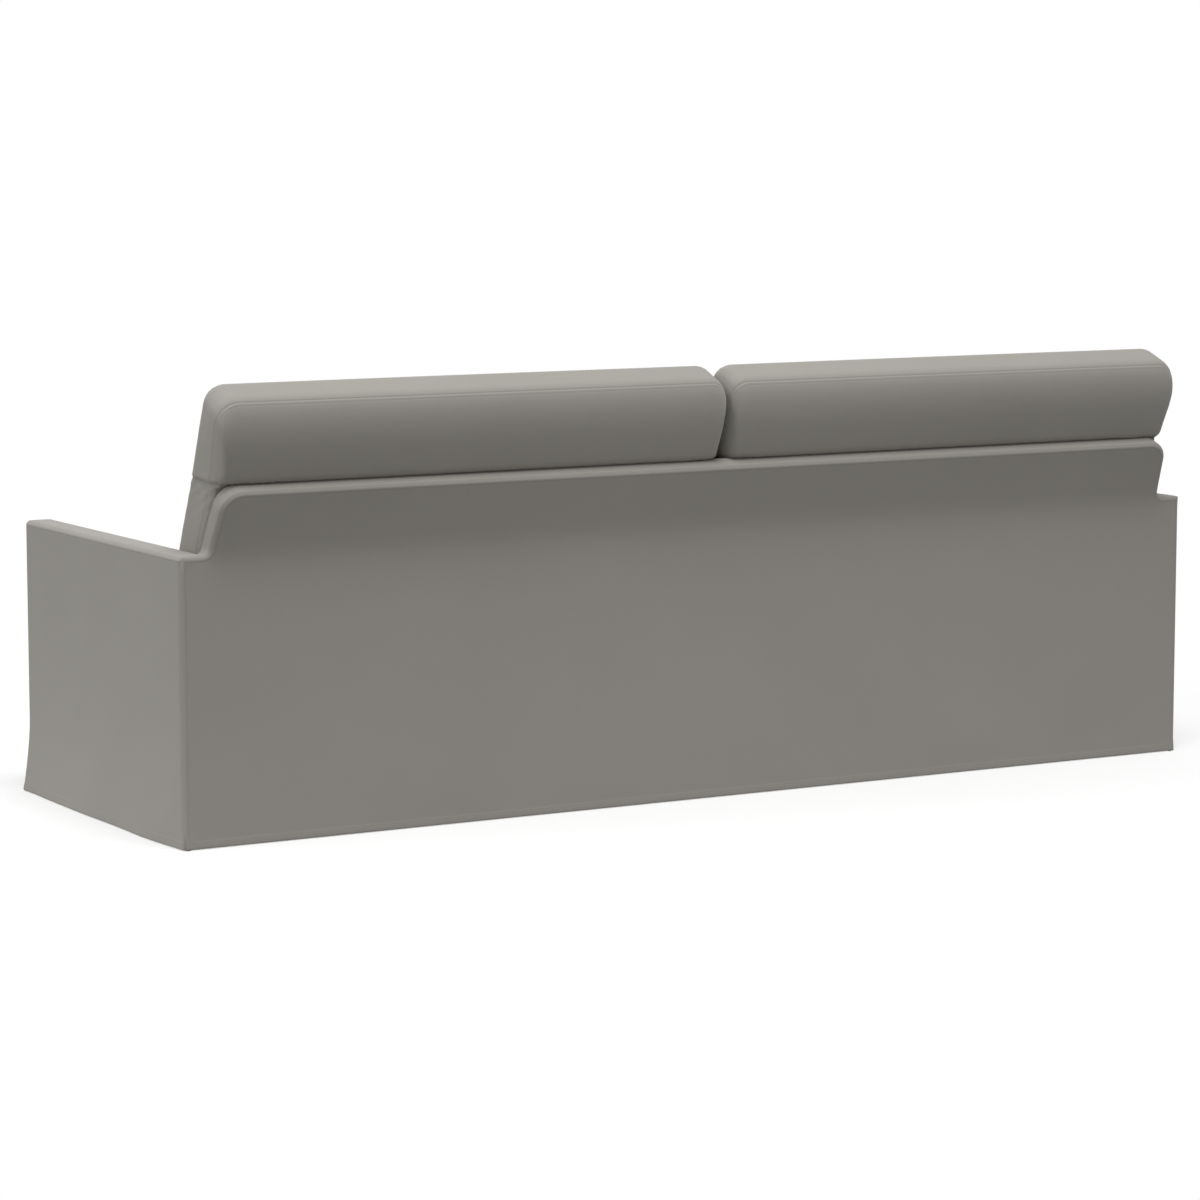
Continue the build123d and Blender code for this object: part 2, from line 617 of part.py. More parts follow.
def seat_section(x, drop, draw, crown):
    """Side view of a seat cushion at x, seen along x: flat below, crowned above, round at the nose."""
    low = SEAT_LOW + draw
    top = SEAT_EDGE - draw
    rear = REAR - SEAT_REAR
    nose = REAR - SEAT_FRONT + drop
    rt = SEAT_TOP_R
    rl = SEAT_LOW_R
    near = 1 - sqrt(0.5)
    with BuildSketch(Plane.YZ.offset(x)) as section:
        with BuildLine():
            Line((rear - rl, low), (nose + rl, low))
            ThreePointArc((nose + rl, low), (nose + rl * near, low + rl * near), (nose, low + rl))
            middle = (low + rl + top - rt) / 2
            ThreePointArc((nose, low + rl), (nose - SEAT_BULGE * crown, middle), (nose, top - rt))
            ThreePointArc((nose, top - rt), (nose + rt * near, top - rt * near), (nose + rt, top))
            ThreePointArc((nose + rt, top), ((rear + nose) / 2, top + SEAT_CROWN * crown), (rear - rt, top))
            ThreePointArc((rear - rt, top), (rear - rt * near, top - rt * near), (rear, top - rt))
            Line((rear, top - rt), (rear, low + rl))
            ThreePointArc((rear, low + rl), (rear - rl * near, low + rl * near), (rear - rl, low))
        make_face()
    return section.sketch


def seat_block(grow):
    """The foam block of a seat cushion, grown on every side."""
    half = CUSHION_HALF - WADDING + grow
    with BuildPart() as block:
        slab(
            -half, half,
            SEAT_REAR + WADDING - grow, SEAT_FRONT - WADDING + grow,
            SEAT_LOW + WADDING - grow, SEAT_EDGE - WADDING + grow,
        )
    return block.part


# The back cushion stands on the seat cushion, at the height of its crown there
SEAT_SPAN = SEAT_FRONT - SEAT_REAR - 2 * SEAT_TOP_R
REST_DEPTH = depth_at(CUSHION_T1 + CUSHION_CROWN, SEAT_EDGE)
REST_SHARE = 2 * (REST_DEPTH - (SEAT_REAR + SEAT_FRONT) / 2) / SEAT_SPAN
REST_Z = SEAT_EDGE + SEAT_CROWN * (1 - REST_SHARE**2) + SOFT_GAP
CUSHION_LOW = rise_at(CUSHION_T1 + CUSHION_CROWN, REST_Z) - CUSHION_CROWN


def back_section(x, drop, draw, crown):
    """Side view of a back cushion at x: flat on the backrest, over its top, rolled above, full in front."""
    t0 = CUSHION_T0 + draw
    t1 = CUSHION_T1 - draw
    top = CUSHION_TOP - drop
    over = t0 - CUSHION_OVER * (1 - END_FLATNESS * drop / CUSHION_CORNER_R)
    roll = over + CUSHION_ROLL_T
    low = top - CUSHION_ROLL_W
    rf = CUSHION_FRONT_R
    near = 1 - sqrt(0.5)
    plane = Plane(origin=(x, REAR, ARM_HEIGHT), x_dir=FORWARD, z_dir=(-1, 0, 0))
    rest = BACK_RISE + SOFT_GAP
    with BuildSketch(plane) as section:
        with BuildLine():
            Line((t0, CUSHION_LOW), (t0, rest))
            Line((t0, rest), (over, rest))
            Line((over, rest), (over, low))
            swell = (over + CUSHION_ROLL_T * near, top - CUSHION_ROLL_W * near)
            ThreePointArc((over, low), swell, (roll, top))
            crest = ((roll + t1 - rf) / 2, top + CUSHION_TOP_CROWN * crown)
            ThreePointArc((roll, top), crest, (t1 - rf, top))
            ThreePointArc((t1 - rf, top), (t1 - rf * near, top - rf * near), (t1, top - rf))
            belly = (top - rf + CUSHION_LOW) / 2
            ThreePointArc((t1, top - rf), (t1 + CUSHION_CROWN * crown, belly), (t1, CUSHION_LOW))
            Line((t1, CUSHION_LOW), (t0, CUSHION_LOW))
        make_face()
    return section.sketch


def back_block(grow):
    """The filling of a back cushion, grown on every side, level at its foot."""
    half = CUSHION_HALF - WADDING + grow
    with BuildPart() as block:
        lean_slab(
            -half, half,
            CUSHION_LOW, CUSHION_TOP - WADDING + grow,
            CUSHION_T0 + WADDING - grow, CUSHION_T1 - WADDING + grow,
        )
        slab(-X_OUT, X_OUT, -ARM_DEPTH, ARM_DEPTH, 0, REST_Z + WADDING - grow, mode=Mode.SUBTRACT)
    return block.part


# Each cover carries its wadding, so it is thick at the crown and hollow for its foam block or filling
with BuildPart() as seat_cover:
    loft([seat_section(*station) for station in both_ends(SEAT_CORNER_R, CUSHION_HALF)], ruled=True)
    add(seat_block(SOFT_GAP), mode=Mode.SUBTRACT)

with BuildPart() as back_cover:
    loft([back_section(*station) for station in both_ends(CUSHION_CORNER_R, CUSHION_HALF)], ruled=True)
    slab(-X_OUT, X_OUT, -ARM_DEPTH, ARM_DEPTH, 0, REST_Z, mode=Mode.SUBTRACT)
    add(back_block(SOFT_GAP), mode=Mode.SUBTRACT)


def placed(form, side, node):
    """A cushion piece at its place on the left or the right of the sofa."""
    with BuildPart() as piece:
        with Locations((side * CUSHION_MID, 0, 0)):
            add(form)
    finish(piece, node)


SIDES = (("left", 1), ("right", -1))
for name, side in SIDES:
    placed(seat_cover.part, side, f"seat_cushion_{name}_cover")
    placed(seat_block(0), side, f"seat_cushion_{name}_core")
    placed(back_cover.part, side, f"back_cushion_{name}_cover")
    placed(back_block(0), side, f"back_cushion_{name}_filling")

# Zips: on the rear of each seat cushion, and under the rear edge of each back cushion
SEAT_ZIP_Z = (SEAT_LOW + SEAT_EDGE) / 2
SEAT_ZIP_D = SEAT_REAR - SOFT_GAP
BACK_ZIP_D = depth_at(CUSHION_T0, REST_Z) + ZIP_FROM_REAR
BACK_ZIP_Z = REST_Z - SOFT_GAP

for name, side in SIDES:
    x0 = side * CUSHION_MID - ZIP_LENGTH / 2
    x1 = side * CUSHION_MID + ZIP_LENGTH / 2
    slide_x = side * (CUSHION_MID + ZIP_LENGTH / 2 - SLIDER_LENGTH)
    pull_x = slide_x - side * (SLIDER_LENGTH + PULL_LENGTH) / 2
    s0 = slide_x - SLIDER_LENGTH / 2
    s1 = slide_x + SLIDER_LENGTH / 2
    p0 = pull_x - PULL_LENGTH / 2
    p1 = pull_x + PULL_LENGTH / 2

    with BuildPart() as seat_zip:
        slab(
            x0, x1, SEAT_ZIP_D - ZIP_T, SEAT_ZIP_D,
            SEAT_ZIP_Z - ZIP_WIDTH / 2, SEAT_ZIP_Z + ZIP_WIDTH / 2,
        )
    finish(seat_zip, f"seat_cushion_{name}_zip")

    with BuildPart() as seat_slider:
        face = SEAT_ZIP_D - ZIP_T - SOFT_GAP
        slab(s0, s1, face - SLIDER_T, face, SEAT_ZIP_Z - SLIDER_WIDTH / 2, SEAT_ZIP_Z + SLIDER_WIDTH / 2)
        slab(p0, p1, face - PULL_T, face, SEAT_ZIP_Z - PULL_WIDTH / 2, SEAT_ZIP_Z + PULL_WIDTH / 2)
    finish(seat_slider, f"seat_cushion_{name}_zip_slider")

    with BuildPart() as back_zip:
        slab(
            x0, x1, BACK_ZIP_D - ZIP_WIDTH / 2, BACK_ZIP_D + ZIP_WIDTH / 2,
            BACK_ZIP_Z - ZIP_T, BACK_ZIP_Z,
        )
    finish(back_zip, f"back_cushion_{name}_zip")

    with BuildPart() as back_slider:
        under = BACK_ZIP_Z - ZIP_T - SOFT_GAP
        slab(s0, s1, BACK_ZIP_D - SLIDER_WIDTH / 2, BACK_ZIP_D + SLIDER_WIDTH / 2, under - SLIDER_T, under)
        slab(p0, p1, BACK_ZIP_D - PULL_WIDTH / 2, BACK_ZIP_D + PULL_WIDTH / 2, under - PULL_T, under)
    finish(back_slider, f"back_cushion_{name}_zip_slider")
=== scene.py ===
import json
import math

import bmesh
import bpy
import numpy as np
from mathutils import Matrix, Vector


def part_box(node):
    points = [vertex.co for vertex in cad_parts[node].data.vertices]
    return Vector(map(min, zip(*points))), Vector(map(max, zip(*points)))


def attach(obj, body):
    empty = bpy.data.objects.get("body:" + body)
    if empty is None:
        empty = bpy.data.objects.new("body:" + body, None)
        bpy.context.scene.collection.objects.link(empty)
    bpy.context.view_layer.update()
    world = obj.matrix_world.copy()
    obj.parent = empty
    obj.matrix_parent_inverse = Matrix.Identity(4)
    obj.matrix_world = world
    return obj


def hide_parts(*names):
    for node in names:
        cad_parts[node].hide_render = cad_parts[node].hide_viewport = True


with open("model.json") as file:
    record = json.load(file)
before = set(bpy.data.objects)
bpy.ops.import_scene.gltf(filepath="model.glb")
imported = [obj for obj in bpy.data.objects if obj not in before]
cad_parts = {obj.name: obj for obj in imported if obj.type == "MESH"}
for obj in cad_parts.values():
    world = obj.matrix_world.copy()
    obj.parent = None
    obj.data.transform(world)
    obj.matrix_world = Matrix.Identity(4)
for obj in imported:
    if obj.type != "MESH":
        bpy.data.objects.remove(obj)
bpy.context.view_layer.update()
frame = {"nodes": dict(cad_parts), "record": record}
cad = frame["nodes"]
print("frame loaded:", len(cad), "nodes")

# main sizes in metres, as the CAD part has them
sofa = {
    "rear": 0.37184, "outer": 1.2, "inner": 1.14, "depth": 0.79, "armTop": 0.57, "hem": 0.0015,
    "deck": 0.283, "lean": math.radians(22.5), "backThick": 0.044, "backRise": 0.133, "backTaper": 0.013,
    "flare": 0.012, "flareTop": 0.15, "cloth": 0.002,
}
leanSin, leanCos = math.sin(sofa["lean"]), math.cos(sofa["lean"])


# Small numeric helpers

def smooth(t):
    t = np.clip(t, 0, 1)
    return t * t * (3 - 2 * t)


def bell(distance, width):
    return np.exp(-((distance / width) ** 2))


def unit(v):
    return v / np.linalg.norm(v, axis=-1, keepdims=True)


# soft unevenness: a sum of sine waves in seeded random directions, each shorter and weaker than the last
def ripple(points, seed, longest, count=8):
    rng = np.random.default_rng(seed)
    total = np.zeros(points.shape[:-1])
    for i in range(count):
        direction = unit(rng.normal(size=points.shape[-1]))
        total += np.sin(points @ direction * 2 * np.pi / (longest * 0.85**i) + rng.uniform(0, 6.28)) * 0.85**i
    return total / 3


# a polygon with round corners; each corner is x, y, radius and the step of the edge after it, and no other
# point comes nearer than clear to a sharp corner
def roundedLoop(corners, closed=True, arcStep=0.003, clear=0.0):
    xy = np.array([c[:2] for c in corners], float)
    count = len(corners)
    arcs = []
    for i in range(count):
        radius = corners[i][2]
        if radius == 0 or (not closed and i in (0, count - 1)):
            arcs.append(xy[i : i + 1])
            continue
        before = unit(xy[i] - xy[i - 1])
        after = unit(xy[(i + 1) % count] - xy[i])
        turn = math.atan2(before[0] * after[1] - before[1] * after[0], before @ after)
        start = xy[i] - before * radius * math.tan(abs(turn) / 2)
        arm = np.array([before[1], -before[0]]) * radius * np.sign(turn)
        angle = np.linspace(0, turn, max(4, math.ceil(radius * abs(turn) / arcStep)) + 1)[:, None]
        across = np.array([-arm[1], arm[0]])
        arcs.append(start - arm + arm * np.cos(angle) + across * np.sin(angle))
    points = []
    for i in range(count):
        points.append(arcs[i])
        if closed or i < count - 1:
            a, b = arcs[i][-1], arcs[(i + 1) % count][0]
            pieces = max(1, round(np.linalg.norm(b - a) / corners[i][3]))
            points.append(a + np.linspace(0, 1, pieces + 1)[1:-1, None] * (b - a))
    points = np.concatenate(points)
    for corner in (c for c in corners if c[2] == 0 and clear):
        away = np.linalg.norm(points - np.array(corner[:2]), axis=1)
        points = points[(away < 1e-9) | (away > clear)]
    return points


# direction into a counter-clockwise loop at each point, lengthened at corners so that offsets stay parallel
def inward(loop, closed=True):
    ahead = np.roll(loop, -1, 0) - loop
    behind = loop - np.roll(loop, 1, 0)
    if not closed:
        ahead[-1], behind[0] = behind[-1], ahead[0]
    ahead, behind = unit(ahead), unit(behind)
    left = np.stack([-ahead[:, 1], ahead[:, 0]], 1)
    other = np.stack([-behind[:, 1], behind[:, 0]], 1)
    return (left + other) / (1 + (left * other).sum(1))[:, None]


def runOf(loop):
    return np.concatenate([[0], np.cumsum(np.linalg.norm(np.diff(loop, axis=0), axis=1))])


# Meshes

def gridMesh(name, rows, closed=False, flip=False, stitch=None, run=None):
    count, width = rows.shape[:2]
    index = np.arange(count * width).reshape(count, width)
    if closed:
        index = np.concatenate([index, index[:, :1]], 1)
    quads = np.stack([index[:-1, :-1], index[:-1, 1:], index[1:, 1:], index[1:, :-1]], -1).reshape(-1, 4)
    if flip:
        quads = quads[:, ::-1]
    mesh = bpy.data.meshes.new(name)
    mesh.vertices.add(count * width)
    mesh.vertices.foreach_set("co", rows.astype(np.float32).ravel())
    mesh.loops.add(quads.size)
    mesh.loops.foreach_set("vertex_index", quads.astype(np.int32).ravel())
    mesh.polygons.add(len(quads))
    mesh.polygons.foreach_set("loop_start", np.arange(0, quads.size, 4, dtype=np.int32))
    mesh.update(calc_edges=True)
    for label, values in (("stitchGap", stitch), ("stitchRun", run)):
        if values is not None:
            layer = mesh.attributes.new(label, "FLOAT", "POINT")
            spread = np.broadcast_to(values, (count, width))
            layer.data.foreach_set("value", spread.astype(np.float32).ravel())
    mesh.shade_smooth()
    made = bpy.data.objects.new(name, mesh)
    bpy.context.scene.collection.objects.link(made)
    return made


def weld(obj, distance=1e-5):
    work = bmesh.new()
    work.from_mesh(obj.data)
    bmesh.ops.remove_doubles(work, verts=work.verts, dist=distance)
    bmesh.ops.dissolve_degenerate(work, edges=work.edges, dist=distance)
    work.to_mesh(obj.data)
    work.free()
    obj.data.shade_smooth()


def thicken(obj, thick=sofa["cloth"]):
    solid = obj.modifiers.new("thickness", "SOLIDIFY")
    solid.thickness = thick
    solid.offset = -1
    return obj


def coordsOf(mesh):
    flat = np.empty(len(mesh.vertices) * 3, np.float32)
    mesh.vertices.foreach_get("co", flat)
    return flat.reshape(-1, 3).astype(float)


def normalsOf(mesh):
    flat = np.empty(len(mesh.vertices) * 3, np.float32)
    mesh.vertex_normals.foreach_get("vector", flat)
    return flat.reshape(-1, 3).astype(float)


def setCoords(mesh, points):
    mesh.vertices.foreach_set("co", points.astype(np.float32).ravel())
    mesh.update()


# Borders of the sewn panels

border = {
    "radius": 0.010, "tuck": (0.007, 0.0035), "groove": 0.0008, "grooveWidth": 0.0020,
    "stitchAt": 0.008, "stitchDeep": 0.0003, "stitchWidth": 0.0012,
    "hemAt": 0.0125, "hemProud": 0.0009,
    "steps": np.array([
        0, 0.6, 1.3, 2.2, 3.3, 4.7, 6, 6.8, 7.4, 8, 8.6, 9.2, 10, 11.3, 12.2, 13, 15, 19, 25]) / 1000,
}
seamInset = border["radius"] * (1 - math.sqrt(0.5))


# height of a panel near a seam on a round edge: a circle's drop, the seam's groove and the stitch line
def seamHeight(gap, radius=border["radius"]):
    edge = gap + radius * (1 - math.sqrt(0.5))
    near = np.clip(radius - edge, 0, radius)
    drop = radius - np.sqrt(radius**2 - near**2)
    groove = border["groove"] * bell(gap, border["grooveWidth"])
    stitch = border["stitchDeep"] * bell(gap - border["stitchAt"], border["stitchWidth"])
    return -(drop + groove + stitch)


# a seam between two panels in one plane has no drop
def flatHeight(gap):
    groove = 1.6 * border["groove"] * bell(gap, border["grooveWidth"])
    return -(groove + border["stitchDeep"] * bell(gap - border["stitchAt"], border["stitchWidth"]))


# a turned hem: a little proud up to its stitch line, and rolled under at its edge
def hemHeight(gap):
    proud = border["hemProud"] * (1 - smooth((gap - border["hemAt"]) / 0.003))
    roll = 0.0015 * bell(gap, 0.0016)
    return proud - roll - border["stitchDeep"] * bell(gap - border["hemAt"], border["stitchWidth"])


# distances from a sharp border, heights there, and distance from the stitch line
def borderRun(kind):
    if kind == "plain":
        return np.array([0.0]), np.array([0.0]), np.array([1.0])
    gap = border["steps"]
    height = {"seam": seamHeight, "flat": flatHeight, "hem": hemHeight}[kind](gap)
    stitch = gap - (border["hemAt"] if kind == "hem" else border["stitchAt"])
    inset = seamInset if kind == "seam" else 0
    tuck = height[0] - np.array(border["tuck"])
    return (
        np.concatenate([[inset, inset], inset + gap]),
        np.concatenate([tuck, height]),
        np.concatenate([[1, 1], stitch]),
    )


# places across a panel from border to border, with extra ones where the path bends
def panelRun(length, first, last, step, bends=()):
    p0, h0, s0 = (values[borderRun(first)[0] < 0.45 * length] for values in borderRun(first))
    p1, h1, s1 = (values[borderRun(last)[0] < 0.45 * length] for values in borderRun(last))
    stops = [p0[-1], *(b for bend in bends for b in bend), length - p1[-1]]
    inner = []
    for i in range(len(stops) - 1):
        pace = 0.002 if i % 2 else step
        count = max(1, round((stops[i + 1] - stops[i]) / pace))
        inner.append(np.linspace(stops[i], stops[i + 1], count + 1)[:-1])
    inner = np.concatenate(inner)[1:]
    place = np.concatenate([p0, inner, (length - p1)[::-1]])
    height = np.concatenate([h0, np.zeros(len(inner)), h1[::-1]])
    stitch = np.concatenate([s0, np.ones(len(inner)), s1[::-1]])
    return place, height, stitch


# the nearer stitch line of a panel's two directions, and the way along it
def stitchMaps(a, stitchA, b, stitchB):
    nearA = np.abs(stitchA)[:, None] < np.abs(stitchB)[None, :]
    gap = np.where(nearA, stitchA[:, None], stitchB[None, :])
    return gap, np.where(nearA, b[None, :], a[:, None])


# outward flare of the skirt at a height: nothing above the flare's top, most at the hem
def flareAt(z):
    return sofa["flare"] * np.clip((sofa["flareTop"] - z) / sofa["flareTop"], 0, 1) ** 1.5


# Rear profile: upright to arm height, then a soft bend into the lean

bend = {"half": 0.03, "table": np.linspace(0, 0.8, 1601)}
bendAngle = sofa["lean"] * smooth((bend["table"] - sofa["armTop"] + bend["half"]) / (2 * bend["half"]))
bendStep = bend["table"][1]
bendY = sofa["rear"] + np.concatenate([[0], np.cumsum(np.sin(bendAngle[:-1]) * bendStep)])
bendZ = np.concatenate([[0], np.cumsum(np.cos(bendAngle[:-1]) * bendStep)])


# x across, s up along the rear cloth, depth forward of it
def rearPoint(x, s, depth, angle=None):
    if angle is None:
        angle = np.interp(s, bend["table"], bendAngle)
    y = np.interp(s, bend["table"], bendY) - depth * np.cos(angle)
    z = np.interp(s, bend["table"], bendZ) + depth * np.sin(angle)
    return np.stack(np.broadcast_arrays(x, y, z), -1)


# x across, w up along the lean from arm height, t forward of the backrest's rear face
def leanPoint(x, w, t):
    y = sofa["rear"] - t * leanCos + w * leanSin
    z = sofa["armTop"] + w * leanCos + t * leanSin
    return np.stack(np.broadcast_arrays(x, y, z), -1)


# Materials

class Wire:
    def __init__(self, tree, socket):
        self.tree, self.socket = tree, socket

    def node(self, kind, settings, sockets, output=0):
        made = self.tree.nodes.new(kind)
        for key, value in settings.items():
            setattr(made, key, value)
        for key, value in sockets.items():
            if isinstance(value, Wire):
                self.tree.links.new(value.socket, made.inputs[key])
            else:
                made.inputs[key].default_value = value
        return Wire(self.tree, made.outputs[output])

    def math(self, operation, a, b=0.0):
        return self.node("ShaderNodeMath", {"operation": operation}, {0: a, 1: b})

    def __add__(self, other):
        return self.math("ADD", self, other)

    def __sub__(self, other):
        return self.math("SUBTRACT", self, other)

    def __rsub__(self, other):
        return self.math("SUBTRACT", other, self)

    def __mul__(self, other):
        return self.math("MULTIPLY", self, other)

    def __truediv__(self, other):
        return self.math("DIVIDE", self, other)

    def below(self, limit):
        return self.math("LESS_THAN", self, limit)

    def mix(self, a, b):
        return self.node("ShaderNodeMix", {"data_type": "RGBA"}, {0: self, 6: a, 7: b}, 2)

    def noise(self, where, scale, detail=3.0):
        return self.node("ShaderNodeTexNoise", {}, {"Vector": where, "Scale": scale, "Detail": detail})

    def stretch(self, where, scale):
        return self.node("ShaderNodeMapping", {}, {"Vector": where, "Scale": scale})


def material(name, roughness, metallic=0.0, sheen=0.0):
    made = bpy.data.materials.new(name)
    made.use_nodes = True
    shader = made.node_tree.nodes["Principled BSDF"]
    shader.inputs["Roughness"].default_value = roughness
    shader.inputs["Metallic"].default_value = metallic
    shader.inputs["Sheen Weight"].default_value = sheen
    start = Wire(made.node_tree, None)
    where = start.node("ShaderNodeTexCoord", {}, {}, 3)
    return made, shader, where


def plug(wire, shader, name):
    wire.tree.links.new(wire.socket, shader.inputs[name])


def roughen(height, shader, strength, distance):
    bumped = height.node(
        "ShaderNodeBump", {}, {"Height": height, "Strength": strength, "Distance": distance}
    )
    plug(bumped, shader, "Normal")


def tinted(colour, share):
    return (*(c * share for c in colour), 1)


# plain woven cloth: faint mottling, a fine weave and, where the mesh has stitch lines, short dark stitches
def clothMaterial(name, colour, weave=900.0):
    made, shader, where = material(name, 0.92, sheen=0.25)
    mottle = where.noise(where, 2.6, 4.0)
    fine = where.noise(where, 140.0, 2.0)
    share = mottle * 0.75 + fine * 0.25
    base = share.mix(tinted(colour, 0.93), tinted(colour, 1.07))
    gap = where.node("ShaderNodeAttribute", {"attribute_name": "stitchGap"}, {}, 2)
    run = where.node("ShaderNodeAttribute", {"attribute_name": "stitchRun"}, {}, 2)
    line = gap.math("ABSOLUTE", gap).below(0.0007)
    dash = run.math("FRACT", run / 0.0045).below(0.72)
    thread = line * dash
    plug(thread.mix(base, tinted(colour, 0.80)), shader, "Base Color")
    warp = where.node("ShaderNodeTexWave", {"bands_direction": "X"}, {"Vector": where, "Scale": weave})
    weft = where.node("ShaderNodeTexWave", {"bands_direction": "Z"}, {"Vector": where, "Scale": weave})
    roughen((warp + weft) * 0.35 + fine * 0.5 + thread, shader, 0.12, 0.0008)
    return made


def woodMaterial(name, dark, light, roughness, grain):
    made, shader, where = material(name, roughness)
    long = where.stretch(where, grain)
    rings = where.noise(long, 9.0, 5.0)
    pores = where.noise(long, 60.0, 2.0)
    plug((rings * 0.75 + pores * 0.25).mix((*dark, 1), (*light, 1)), shader, "Base Color")
    roughen(pores, shader, 0.15, 0.0006)
    return made


def plainMaterial(name, colour, roughness, metallic=0.0, scale=40.0, contrast=0.12, height=0.1):
    made, shader, where = material(name, roughness, metallic)
    spots = where.noise(where, scale, 4.0)
    plug(spots.mix(tinted(colour, 1 - contrast), tinted(colour, 1 + contrast)), shader, "Base Color")
    roughen(spots, shader, height, 0.001)
    return made


greyCloth = (0.300, 0.285, 0.259)
along, upright = (0.12, 1.0, 1.0), (1.0, 1.0, 0.12)
looks = {
    "slipcover_cloth": clothMaterial("slipcoverCloth", greyCloth),
    "cushion_cloth": clothMaterial("cushionCloth", greyCloth),
    "deck_lining": clothMaterial("deckLining", (0.25, 0.24, 0.225)),
    "dust_lining": clothMaterial("dustLining", (0.018, 0.018, 0.018), 600.0),
    "webbing": clothMaterial("webbing", (0.34, 0.24, 0.12), 400.0),
    "zip_tape": clothMaterial("zipTape", (0.20, 0.19, 0.175)),
    "seat_foam": plainMaterial("seatFoam", (0.70, 0.62, 0.42), 0.95, scale=180.0),
    "cushion_filling": plainMaterial("cushionFilling", (0.78, 0.76, 0.70), 0.98, scale=60.0),
    "pad_foam": plainMaterial("padFoam", (0.66, 0.60, 0.44), 0.95, scale=180.0),
    "wadding": plainMaterial("wadding", (0.78, 0.78, 0.74), 0.98, scale=50.0),
    "felt": plainMaterial("felt", (0.15, 0.145, 0.14), 0.98, scale=120.0, contrast=0.3),
    "frame_timber": woodMaterial("frameTimber", (0.40, 0.24, 0.10), (0.60, 0.41, 0.21), 0.6, along),
    "plywood": woodMaterial("plywood", (0.44, 0.28, 0.13), (0.63, 0.45, 0.25), 0.6, upright),
    "hardboard": plainMaterial("hardboard", (0.14, 0.075, 0.035), 0.7, scale=260.0, contrast=0.25),
    "leg_wood": woodMaterial("legWood", (0.045, 0.022, 0.011), (0.10, 0.052, 0.026), 0.42, upright),
    "glide_plastic": plainMaterial("glidePlastic", (0.012, 0.012, 0.012), 0.55, scale=200.0),
    "zip_metal": plainMaterial("zipMetal", (0.42, 0.42, 0.41), 0.32, 1.0, 300.0),
    "spring_steel": plainMaterial("springSteel", (0.24, 0.24, 0.25), 0.38, 1.0, 120.0),
    "zinc_steel": plainMaterial("zincSteel", (0.50, 0.50, 0.47), 0.34, 1.0, 120.0),
}
slotOf = {part["node"]: part["material_slot"] for part in frame["record"]["subparts"]}
for node, shown in cad.items():
    shown.data.materials.clear()
    shown.data.materials.append(looks[slotOf[node]])
print("materials:", len(looks))


def dress(obj, slot, body, *nodes):
    obj.data.materials.clear()
    obj.data.materials.append(looks[slot])
    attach(obj, body)
    if nodes:
        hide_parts(*nodes)
    return obj


# Rear panel: rings parallel to its outline near the seams, then straight lines to a spine inside it

rear = {
    "top": sofa["armTop"] + sofa["backRise"], "cornerR": 0.047, "footR": 0.014,
    "step": 0.011, "spineX": 1.0, "spineS": 0.30, "pitch": 0.02, "rows": 34, "uneven": 0.0009,
    "wave": 0.62, "calm": 0.06, "fieldRun": 0.3,
}


def shoulderPath(inset):
    half, top = sofa["inner"] - inset, rear["top"] - inset
    level = sofa["armTop"] - inset
    taper = sofa["backTaper"]
    return [
        (half, level, rear["footR"] + inset, rear["step"]),
        (half - taper, top, rear["cornerR"] - inset, rear["step"]),
        (taper - half, top, rear["cornerR"] - inset, rear["step"]),
        (-half, level, rear["footR"] + inset, rear["step"]),
    ]


def rearPanel():
    edge, level = sofa["outer"] - seamInset, sofa["armTop"] - seamInset
    loop = roundedLoop([
        (-edge, sofa["hem"], 0, rear["step"]), (edge, sofa["hem"], 0, rear["step"]),
        (edge, level, 0, rear["step"]),
        *shoulderPath(seamInset),
        (-edge, level, 0, rear["step"]),
    ], clear=border["steps"][-1] + 0.001)
    into = inward(loop)
    isHem = loop[:, 1] < sofa["hem"] + 1e-6
    gap = border["steps"]
    height = np.where(isHem, hemHeight(gap)[:, None], seamHeight(gap)[:, None])
    tuck = height[:1] - np.array(border["tuck"])[:, None]
    rings = loop + into * gap[:, None, None]
    spineX = np.clip(np.round(loop[:, 0] / rear["pitch"]) * rear["pitch"], -rear["spineX"], rear["spineX"])
    spine = np.stack([spineX, np.full(len(loop), rear["spineS"])], 1)
    share = np.linspace(0, 1, rear["rows"])[1:, None, None]
    inner = rings[-1] + (spine - rings[-1]) * share
    flat = np.concatenate([rings[:1], rings[:1], rings, inner])
    height = np.concatenate([tuck, height, np.zeros(inner.shape[:2])])
    depthIn = np.concatenate([[0, 0], gap, np.full(len(inner), gap[-1])])
    depthIn[-len(inner):] += np.linspace(0, rear["fieldRun"], len(inner))
    height += rear["uneven"] * ripple(flat, 3, rear["wave"]) * smooth(depthIn / rear["calm"])[:, None]
    stitch = np.where(isHem, border["hemAt"], border["stitchAt"])
    stitch = np.concatenate([np.ones((2, len(loop))), gap[:, None] - stitch, np.ones(inner.shape[:2])])
    run = np.broadcast_to(runOf(loop), height.shape)
    made = gridMesh("slipcoverRear", rearPoint(flat[..., 0], flat[..., 1], -height), True, True, stitch, run)
    weld(made)
    return thicken(made)


slipRear = dress(rearPanel(), "slipcover_cloth", "frame", "cover_back")


# Boxing strip over the backrest: its path is the panel's outline, its width the backrest's thickness

backBox = {"footPast": 0.03, "footStep": 0.004, "step": 0.006, "leanRise": 0.02}


